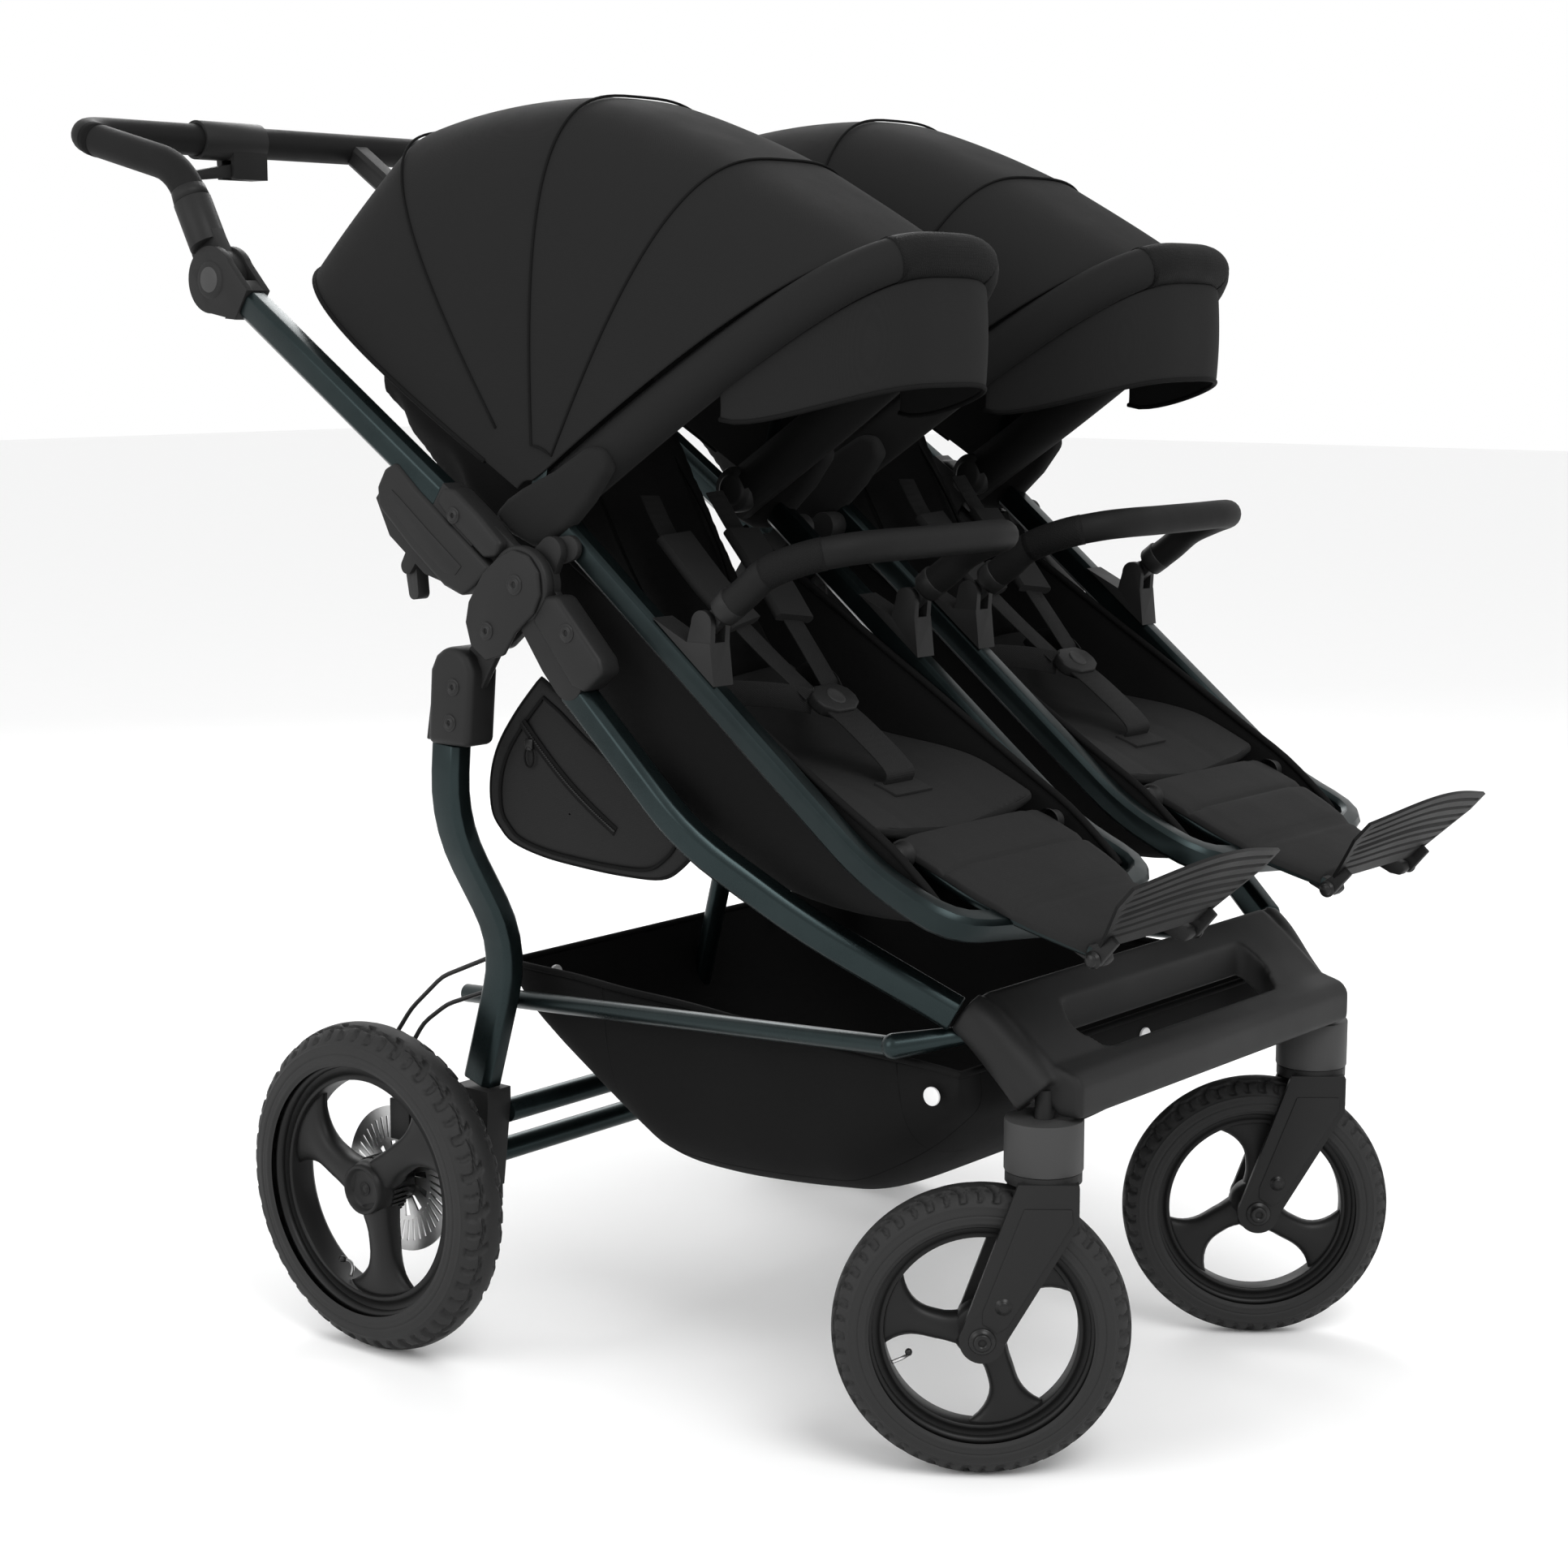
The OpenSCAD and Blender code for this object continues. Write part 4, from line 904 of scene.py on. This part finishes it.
def valve(name, centre, out, at, turn, body):
    """A bent tyre valve that stands in from the rim."""
    t = math.radians(turn)
    up = Vector((0, 0, 1))
    ahead = up.cross(out)
    radial = up * math.cos(t) + ahead * math.sin(t)
    along = ahead * math.cos(t) - up * math.sin(t)
    path = [Vector(centre) + radial * r / 1000 + out * o / 1000 + along * a / 1000
            for r, o, a in ((at, 3, 0), (at - 8, 3, 0), (at - 14, 5, 1.5), (at - 17, 9, 4),
                            (at - 18, 14, 7))]
    tube(name + "_stem", curve_through(path, 4), 1.6, STEEL, body, 10)
    end, back = path[-1], path[-2]
    step = (end - back).normalized()
    tube(name + "_cap", [back + step * 0.002, back + step * 0.0035, end, end + step * 0.002],
         [2.6, 3.1, 3.1, 2.2], BOLT, body, 12)


def front_wheel(side_name, s):
    """Tyre, rim, three spokes, hub and valve, about the castor's own axle."""
    body = "front_wheel_" + side_name
    centre = box_centre("front_tyre_" + side_name)
    joint = next(j for j in frame["joints"] if j["child"] == body)
    axis = Vector(joint["axis"])
    out = axis * (1 if axis.y * s > 0 else -1)
    tyre("front_tread_" + side_name, centre, out, *FRONT_TYRE, body,
         "front_tyre_" + side_name, 468)
    turned("front_felloe_" + side_name, [
        (91, -15.5), (95.5, -15), (97, -12.5), (94, -10), (89, -7.5), (85, -9), (82, -12),
        (80.8, -9), (81, 0), (80.8, 9), (82, 12), (85, 9), (89, 7.5), (94, 10), (97, 12.5),
        (95.5, 15), (91, 15.5), (90.5, 8), (90.5, -8), (91, -15.5)],
        centre, out, RIM_BLACK, body, 96)
    web = spoke_web("front_spokes_" + side_name, centre, out, 13, 84, 12, 22, body, 8 + 40 * s)
    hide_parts("front_rim_" + side_name)
    turned("front_nave_" + side_name, [
        (5.1, -26), (15.5, -26), (17, -24.5), (17, -13), (22, -11), (24, -6), (24, 6), (22, 11),
        (17, 13), (17, 24.5), (15.5, 26), (5.1, 26)], centre, out, RIM_BLACK, body, 64)
    valve("front_valve_" + side_name, centre, out, 80, 248 if s < 0 else 110, body)


# ------------------------------------------------------------------ hoods

HOOD_PIVOT = (198, 798)
HOOD_HALF = 156
HOOD_RADII = ((30, 372), (62, 330), (92, 352), (125, 402), (150, 424))


def hood_radius(a):
    """Reach of the cloth at an angle about the pivots."""
    for (a0, r0), (a1, r1) in zip(HOOD_RADII, HOOD_RADII[1:]):
        if a <= a1:
            return r0 + (r1 - r0) * ((a - a0) / (a1 - a0))
    return HOOD_RADII[-1][1]


def bow(a, t, half, r, seat):
    """A point of a U-shaped bow about the hood's pivots; a and t are in degrees."""
    c, q = math.cos(math.radians(t)), max(math.sin(math.radians(t)), 0)
    across = half * math.copysign(abs(c) ** 0.62, c)
    d = r * q ** 0.62
    return mm(HOOD_PIVOT[0] + d * math.cos(math.radians(a)), seat + across,
              HOOD_PIVOT[1] + d * math.sin(math.radians(a)))


SEAMS = (62, 92, 125)


def hood_sag(a, t):
    """Cloth pulls in a little between the bows, more towards the middle."""
    stops = (36,) + SEAMS + (150,)
    for a0, a1 in zip(stops, stops[1:]):
        if a0 <= a <= a1:
            f = (a - a0) / (a1 - a0)
            return 9.0 * math.sin(math.pi * f) ** 0.8 * math.sin(math.radians(t)) ** 1.5
    return 0.0


def hood_start(t):
    """Angle at which the cloth leaves the rim, so that it meets the rim all the way round."""
    q = max(math.sin(math.radians(t)) ** 0.62, 0.01)
    return 33 + math.degrees(math.asin(min(0.95, 16.0 / (331 * q))))


def hood(side_name, s):
    """The hood's cloth over its bows, with seams and a hem."""
    seat = s * SEAT_Y
    rows = []
    for i in range(73):
        t = 90 - 89.5 * math.cos(math.pi * i / 72)
        a0 = hood_start(t)
        row = []
        for k in range(41):
            a = a0 + (150 - a0) * k / 40
            row.append(bow(a, t, HOOD_HALF, hood_radius(a) - 1 - hood_sag(a, t), seat))
        rows.append(row)
    shell = sheet("hood_cloth_" + side_name, rows, CLOTH, "chassis", thick=2.6, rounds=1)
    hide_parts("hood_" + side_name)
    # A seam along the back bow, and one that runs round the whole front gore
    def seam_point(a, t):
        return bow(a, t, HOOD_HALF + 0.4, hood_radius(a) - 0.6, seat)

    tube("hood_seam_" + side_name, [seam_point(125, 4 + 172 * k / 72) for k in range(73)],
         1.3, PIPING, "chassis", 8)
    turns = [2.4 + 175.2 * k / 72 for k in range(73)]
    gore = [seam_point(92, t) for t in turns] + [seam_point(a, 177.6) for a in (84, 77, 70)]
    gore += [seam_point(62, t) for t in reversed(turns)]
    gore += [seam_point(a, 2.4) for a in (70, 77, 84)]
    tube("hood_gore_seam_" + side_name, gore, 1.3, PIPING, "chassis", 8, close=True)
    # Hem at the back
    tube("hood_hem_" + side_name,
         [bow(150, 3 + 174 * k / 60, HOOD_HALF - 0.3, hood_radius(150) - 2, seat)
          for k in range(61)],
         2.4, PIPING, "chassis", 10)


def hood_front(side_name, s):
    """Padded rim, ribbed grip and the visor under it."""
    body = "canopy_" + side_name
    seat = s * SEAT_Y
    half, reach, slope = 130.5, 380, 33
    path = [mm(HOOD_PIVOT[0] - 13, seat + half, HOOD_PIVOT[1] - 9)]
    path += [bow(slope, 8 + 164 * k / 72, half, reach, seat) for k in range(73)]
    path += [mm(HOOD_PIVOT[0] - 13, seat - half, HOOD_PIVOT[1] - 9)]
    count = len(path)
    fat = [22.5 - 4.0 * math.sin(math.pi * i / (count - 1)) for i in range(count)]
    rim = tube("hood_rim_" + side_name, path, fat, CLOTH, body, 22,
               up=(0.54, 0, -0.84))
    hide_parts("canopy_front_" + side_name)
    apex = [p for p in path if abs(p.y * 1000 - seat) < 60]
    tube("rim_grip_" + side_name, apex, 19.6, GRIP, body, 26)
    for end in (apex[0], apex[-1]):
        step = Vector((0, 0.0016, 0))
        tube("grip_edge_%s_%s" % (side_name, "a" if end is apex[0] else "b"),
             [end - step, end + step], 20.1, PIPING, body, 26)
    # Seam between the rim and the hood's cloth
    lift = Vector((-math.sin(math.radians(slope)), 0, math.cos(math.radians(slope)))) * 0.0185
    tube("rim_seam_" + side_name, [p + lift for p in path[6:-6]], 1.2, PIPING, body, 8)
    # Flap of cloth over each of the rim's joints
    for end, t in ENDS:
        flap = [(150, 786), (166, 800), (184, 810), (222, 826), (262, 848), (282, 846), (284, 828),
                (262, 800), (236, 776), (214, 762), (196, 760), (170, 770)]
        block("hood_flap_%s_%s" % (side_name, end), flap,
              seat + t * 140, seat + t * 159, CLOTH, body, 7.0, 4)
    # Visor
    drop = Vector((math.sin(math.radians(slope)), 0, -math.cos(math.radians(slope)))) * 0.0195
    rows = []
    for k in range(45):
        t = 22 + 136 * k / 44
        f = math.sqrt(max(0, (math.sin(math.radians(t)) - math.sin(math.radians(20)))
                          / (1 - math.sin(math.radians(20)))))
        top = bow(slope, t, half - 1, reach - 1, seat) + drop
        row = []
        for n in range(11):
            d = n / 10
            bulge = 2.2 * math.sin(math.pi * d) * f
            row.append(top + Vector((bulge / 1000, 0, -(3 + 85 * f) * d / 1000)))
        rows.append(row)
    visor = sheet("visor_" + side_name, rows, CLOTH, body, thick=2.2, rounds=1, offset=0)
    tube("visor_hem_" + side_name, [row[-1] for row in rows], 2.2, PIPING, body, 10)
    # Hinge discs that show inside the seat, at the rim's two ends
    for end, t in ENDS:
        inner = seat + t * (half - 20)
        turned("hinge_disc_%s_%s" % (side_name, end),
               [(0, 4.2), (12, 4.2), (14.5, 3.2), (15.2, 1.4), (20, 1.0), (21.5, -2), (21.5, -12)],
               mm(HOOD_PIVOT[0], inner, HOOD_PIVOT[1]), (0, -t, 0), MOULDED_GREY, body, 40)


# ------------------------------------------------------------------ seats

def puffed(piece, cap, cell, shrink):
    """Swells a closed pad with a short cloth simulation, and caps how far it may move."""
    modify(piece, "REMESH", mode="VOXEL", voxel_size=cell / 1000)
    modify(piece, "DISPLACE", strength=-shrink / 1000, mid_level=0.0)
    before = [v.co.copy() for v in piece.data.vertices]
    select_only(piece)
    cloth = piece.modifiers.new("cloth", "CLOTH")
    for key, value in (("quality", 4), ("mass", 0.3), ("tension_stiffness", 20),
                       ("compression_stiffness", 20), ("bending_stiffness", 1.0),
                       ("use_pressure", True), ("uniform_pressure_force", 4.0)):
        setattr(cloth.settings, key, value)
    cloth.settings.effector_weights.gravity = 0
    cloth.point_cache.frame_start = 1
    cloth.point_cache.frame_end = 20
    for step in range(1, 15):
        bpy.context.scene.frame_set(step)
    bpy.ops.object.modifier_apply(modifier=cloth.name)
    bpy.context.scene.frame_set(1)
    for vertex, old in zip(piece.data.vertices, before):
        move = vertex.co - old
        if move.length > cap / 1000:
            vertex.co = old + move.normalized() * cap / 1000
    modify(piece, "SMOOTH", factor=0.6, iterations=4)


def back_rest(side_name, s):
    body = node = "backrest_" + side_name
    seat = s * SEAT_Y
    pad = copy_of(node, "back_pad_" + side_name, CLOTH_DARK)
    puffed(pad, cap=8, cell=8, shrink=5)
    smooth(pad)
    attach(pad, body)
    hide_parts(node)
    # Panel seams down the front of the back
    for off in (-62, 62):
        tube("back_seam_%s_%s" % (side_name, "a" if off < 0 else "b"),
             curve_through([mm(262, seat + off * 0.8, 668), mm(226, seat + off, 740),
                            mm(190, seat + off, 800), mm(130, seat + off * 0.95, 880)], 5),
             1.2, PIPING, body, 8)


def seat_shell():
    """Side walls, belly and rolled top edges of both seats, as one sewn tub each."""
    for side_name, s in SIDES:
        seat = s * SEAT_Y
        stations = [(196, 762, 604, 0.0), (226, 742, 560, 0.1), (262, 720, 530, 0.2),
                    (310, 691, 505, 0.3), (362, 659, 482, 0.4), (415, 627, 466, 0.5),
                    (468, 594, 458, 0.62), (520, 562, 457, 0.75), (566, 534, 461, 0.87),
                    (604, 503, 470, 0.95), (618, 489, 477, 1.0)]
        rows = []
        for x, high, low, f in stations:
            row = []
            depth = high - low
            for k in range(33):
                c = -1 + 2 * k / 32
                # From the right edge, down the wall, across the belly and up again
                a = c * 90
                across = 129.5 * math.copysign(abs(math.sin(math.radians(a))) ** 0.55, a)
                sink = math.cos(math.radians(a)) ** 0.62 if abs(a) < 90 else 0.0
                row.append(mm(x, seat + across, high - depth * sink))
            rows.append(row)
        tub = sheet("seat_cloth_" + side_name, rows, CLOTH_DARK, "chassis", thick=3.0, rounds=1,
                    offset=0)
        for edge, k in (("a", 0), ("b", -1)):
            tube("seat_edge_%s_%s" % (side_name, edge), curve_through([row[k] for row in rows], 3),
                 3.4, PIPING, "chassis", 10)
        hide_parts("seat_shell_" + side_name)


def seat_cushions():
    """A dished cushion with two sewn channels in each seat."""
    for side_name, s in SIDES:
        seat = s * SEAT_Y
        spine = [(262, 628), (284, 604), (320, 584), (360, 572), (402, 567), (440, 563),
                 (476, 556), (510, 542), (540, 528)]
        rows = []
        for x, _, z in curve_through([(x, 0, z) for x, z in spine], 3):
            top, low = [], []
            for k in range(29):
                c = -1 + 2 * k / 28
                puff = 4.5 * (1 - abs(c) ** 6)
                dish = 16 * abs(c) ** 2.6
                channel = 2.4 * math.exp(-((abs(c) - 0.52) / 0.03) ** 2)
                top.append(mm(x, seat + 118 * c, z + dish + puff - channel))
                low.append(mm(x, seat + 118 * c, z + dish - 6))
            rows.append(top + low[::-1])
        pad = sheet("seat_pad_" + side_name, rows, CLOTH_PAD, "chassis", loop=True, cap=True)
        modify(pad, "SUBSURF", levels=1, render_levels=1)
        smooth(pad)
        if s == RIGHT:
            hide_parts("seat_pads")


def ribbon(name, path, width, thick, material, body, across=(0, 1, 0)):
    """A flat strap along a path."""
    side = Vector(across)
    rows = []
    path = [Vector(p) for p in path]
    for i, point in enumerate(path):
        ahead = (path[min(i + 1, len(path) - 1)] - path[max(i - 1, 0)]).normalized()
        flat = (side - ahead * side.dot(ahead)).normalized()
        normal = ahead.cross(flat)
        rows.append([point + flat * (width / 2 * a) / 1000 + normal * (thick / 2 * b) / 1000
                     for a, b in ((-1, -0.4), (-0.9, -1), (0, -1), (0.9, -1), (1, -0.4), (1, 0.4),
                                  (0.9, 1), (0, 1), (-0.9, 1), (-1, 0.4))])
    piece = sheet(name, rows, material, body, loop=True, cap=True)
    smooth_by(piece, 40)
    return piece


def harness():
    """Crotch, waist and shoulder straps, shoulder pads and a buckle for each seat."""
    first = None
    for side_name, s in SIDES:
        seat = s * SEAT_Y
        # Wide crotch strap up from the cushion's front
        crotch = ribbon("crotch_strap_" + side_name, curve_through([
            mm(474, seat, 561), mm(478, seat, 571), mm(468, seat, 582), mm(448, seat, 597),
            mm(428, seat, 611), mm(410, seat, 622)], 5), 40, 3.2, WEBBING, "chassis")
        first = first or crotch
        block("crotch_tab_" + side_name, [(466, 559), (492, 553), (494, 557), (470, 565)],
              seat - 26, seat + 26, CLOTH_PAD, "chassis", 1.0)
        for end, t in ENDS:
            # Waist straps sweep back to the seat's sides
            ribbon("waist_strap_%s_%s" % (side_name, end), curve_through([
                mm(398, seat + t * 20, 628), mm(372, seat + t * 44, 634),
                mm(330, seat + t * 78, 636), mm(296, seat + t * 100, 634),
                mm(280, seat + t * 104, 622)], 5), 22, 1.8, WEBBING, "chassis", across=(0, 0, 1))
            # Shoulder straps rise to the back
            ribbon("shoulder_strap_%s_%s" % (side_name, end), curve_through([
                mm(394, seat + t * 16, 632), mm(350, seat + t * 30, 672),
                mm(300, seat + t * 42, 720), mm(258, seat + t * 46, 764),
                mm(232, seat + t * 44, 800)], 5), 24, 2.0, WEBBING, "chassis")
            ribbon("shoulder_pad_%s_%s" % (side_name, end), curve_through([
                mm(334, seat + t * 34, 692), mm(302, seat + t * 42, 724),
                mm(262, seat + t * 46, 766)], 6), 44, 9, CLOTH_PAD, "chassis")
        buckle(side_name, seat)
    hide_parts("harnesses", "buckles")


def buckle(side_name, seat):
    """Pressed-in middle button and two shoulders."""
    outline = [(-24, -10), (-27, -2), (-25, 8), (-14, 16), (14, 16), (25, 8), (27, -2), (24, -10),
               (12, -17), (-12, -17)]
    lean = math.radians(-38)
    centre = mm(404, seat, 627)
    along = Vector((-math.cos(lean), 0, -math.sin(lean)))
    up = Vector((0.62, 0, 0.79))
    side = Vector((0, 1, 0))
    low, high = ([centre + side * x / 1000 + along * z / 1000 + up * h / 1000
                  for x, z in outline] for h in (-5, 6))
    prism("buckle_" + side_name, low, high, MOULDED, "chassis", 2.2, 3)
    turned("buckle_button_" + side_name, [(9.5, 5.5), (9.5, 6.6), (8.6, 7.2), (6, 6.6), (0, 6.2)],
           centre, up, MOULDED_GREY, "chassis", 36)


def leg_rest(side_name, s):
    """Pad with two folds, side tubes, knobs and the footplate's knuckles."""
    body = "legrest_" + side_name
    seat = s * SEAT_Y
    rows = []
    spine = [(548, 533, 104), (562, 529, 104), (592, 517, 103), (604, 512, 102), (632, 499, 99),
             (664, 484, 88), (676, 479, 84), (700, 470, 76), (716, 464, 71)]
    for x, z, half in curve_through(spine, 4):
        fold = sum(3.0 * math.exp(-((x - at) / 2.4) ** 2) for at in (598, 658))
        top, low = [], []
        for k in range(25):
            c = -1 + 2 * k / 24
            puff = 3.2 * (1 - abs(c) ** 8)
            dart = 2.0 * math.exp(-((abs(c) - 0.86) / 0.03) ** 2) if x < 640 else 0
            top.append(mm(x, seat + half * c, z + puff - fold - dart))
            low.append(mm(x, seat + half * c, z - 7))
        rows.append(top + low[::-1])
    pad = sheet("leg_pad_" + side_name, rows, CLOTH_PAD, body, loop=True, cap=True)
    round_edges(pad, 1.2, 2, 50)
    smooth_by(pad, 50)
    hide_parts("legrest_" + side_name)
    for end, t in ENDS:
        # Side tube under the pad's edge and its pivot knob
        tube("leg_tube_%s_%s" % (side_name, end), curve_through([
            mm(560, seat + t * 96, 521), mm(620, seat + t * 94, 494),
            mm(680, seat + t * 74, 470), mm(722, seat + t * 64, 457)], 6), 5, DARK_TUBE, body, 12)
        turned("leg_knob_%s_%s" % (side_name, end),
               [(0, 15), (7, 15), (9, 13.5), (9.4, 11), (9.4, 3), (11.5, 2), (11.5, 0)],
               mm(560, seat + t * 103, 524), (0, t, 0), MOULDED, body, 32)
        turned("foot_bolt_%s_%s" % (side_name, end),
               [(0, 4.5), (4.6, 4.5), (5.2, 3.6), (5.2, 1.4), (7.4, 1.0), (7.4, 0)],
               mm(726, seat + t * 77.2, 455), (0, t, 0), BOLT, body, 24)
        block("foot_knuckle_%s_%s" % (side_name, end),
              [(700, 466), (716, 464), (731, 460), (733, 453), (728, 448), (718, 449),
               (702, 456)], seat + t * 62 - 6, seat + t * 62 + 6, MOULDED, body, 1.6)


def foot_plate(side_name, s):
    """A fan-shaped plate with a raised edge and curved ribs."""
    body = "footplate_" + side_name
    seat = s * SEAT_Y
    lean = math.radians(48)
    along = Vector((math.cos(lean), 0, math.sin(lean)))
    up = Vector((-math.sin(lean), 0, math.cos(lean)))
    hinge = mm(726, seat, 455)
    rows = []
    length = 96
    for i in range(41):
        f = i / 40
        half = 77 + 34 * min(1, f / 0.72) ** 1.1
        row = []
        for k in range(41):
            c = -1 + 2 * k / 40
            reach = 12 + (length - 18 * (1 - math.cos(c * math.pi / 2))) * f
            curl = 1.5 * (abs(c) ** 4)
            rib = 0.0
            if 0.1 < f < 0.97 and abs(c) < 0.93:
                wave = (f * 8.2) % 1.0
                rib = 2.4 if 0.28 < wave < 0.52 else 0.0
            row.append(hinge + along * reach / 1000 + Vector((0, half * c / 1000, 0))
                       + up * (0.6 + rib + curl) / 1000)
        rows.append(row)
    plate = sheet("foot_plate_" + side_name, rows, PLATE_BLACK, body, thick=3.0)
    smooth_by(plate, 25)
    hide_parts("footplate_" + side_name)
    for end, t in ENDS:
        block("plate_ear_%s_%s" % (side_name, end),
              [(721, 461), (719, 453), (724, 448), (731, 450), (741, 462), (748, 470), (741, 476)],
              seat + t * 74 - 3, seat + t * 74 + 3, MOULDED, body, 1.2)


def bumper(side_name, s):
    """Foam-covered bar with a ribbed cuff, ferrules and the tongues that go in the sockets."""
    body = "bumper_bar_" + side_name
    seat = s * SEAT_Y
    half = [(400, 715, 141), (424, 732, 141), (446, 749, 140), (478, 762, 132), (504, 769, 112),
            (514, 771, 80), (516, 771, 40), (516, 771, 0)]
    points = [mm(x, seat + y, z) for x, z, y in half]
    points += [mm(x, seat - y, z) for x, z, y in reversed(half[:-1])]
    path = curve_through(points, 6)
    foam = tube("bumper_foam_" + side_name, path, 13.6, SOFT_BLACK, body, 20)
    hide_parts("bumper_bar_" + side_name)
    tube("bumper_cuff_" + side_name, path[-22:-12], 13.9, GRIP, body, 22)
    for end, t in ENDS:
        tube("bumper_ferrule_%s_%s" % (side_name, end),
             [mm(399.6, seat + t * 141, 715.2), mm(401, seat + t * 141, 716.2),
              mm(411, seat + t * 141, 723.6), mm(412, seat + t * 141, 724.4)],
             [13.2, 14.2, 14.6, 13.8], MOULDED, body, 20)
        block("bumper_tongue_%s_%s" % (side_name, end),
              [(381, 713), (376, 706), (380, 697), (389, 695), (397, 702), (407, 712), (399, 722),
               (390, 716)], seat + t * 141 - 5.7, seat + t * 141 + 5.7, MOULDED, body, 1.4)


# ------------------------------------------------------------------ frame

PROUD = 1.2


def screw(name, centre, out, radius, body):
    """A cap screw with a socket, set in a shallow cup."""
    turned(name, [(radius * 1.5, 0.2), (radius * 1.42, 0.9), (radius * 1.2, 0.7),
                  (radius * 1.12, PROUD - 0.8), (radius * 0.9, PROUD), (radius * 0.52, PROUD),
                  (radius * 0.5, PROUD - 1.6), (0, PROUD - 1.6)], centre, out, BOLT, body, 24)


def whole_copies():
    """Every moulded and metal piece keeps its CAD form, with its edges rounded."""
    plain = [
        ("side_tubes", TUBE, 1.6), ("basket_rails", TUBE, 0.8),
        ("seat_rails", DARK_TUBE, 0.8), ("push_tubes", TUBE, 1.4), ("centre_strut", TUBE, 1.0),
        ("rear_cross_tubes", TUBE, 0.5), ("centre_post", TUBE, 1.0), ("rear_legs", TUBE, 1.6),
        ("side_hubs", MOULDED, 1.6), ("centre_hub", MOULDED, 1.6), ("hub_pins", STEEL, 0.3),
        ("castor_collars", COLLAR, 1.4),
        ("seat_mounts", MOULDED, 1.2), ("bumper_sockets", MOULDED, 1.2),
        ("push_sockets", MOULDED, 1.8), ("fold_levers", MOULDED_GREY, 1.0),
        ("handle_sleeves", MOULDED, 1.4), ("strut_top", MOULDED, 1.0),
        ("brake_housing", MOULDED, 1.4), ("tilt_button_right", BUTTON, 1.0),
        ("tilt_button_left", BUTTON, 1.0), ("brake_lever", MOULDED, 1.0),
        ("leg_caps", MOULDED, 1.6), ("rear_feet", MOULDED, 1.8), ("calipers", MOULDED, 1.0),
        ("fork_right", MOULDED, 1.8), ("fork_left", MOULDED, 1.8),
        ("basket_snaps", SNAP, 0.6), ("brake_cables", CABLE, 0.0),
    ]
    for node, material, edge in plain:
        cad_copy(node, material, edge)


# ------------------------------------------------------------------ put together

whole_copies()
for side_name, s in SIDES:
    rear_wheel(side_name, s)
    front_wheel(side_name, s)
    hood(side_name, s)
    hood_front(side_name, s)
    back_rest(side_name, s)
    leg_rest(side_name, s)
    foot_plate(side_name, s)
    bumper(side_name, s)
seat_shell()
seat_cushions()
harness()
side_bag()
basket()
handle_cover()
fittings()
front_beam()
fork_fittings()

set_stage()
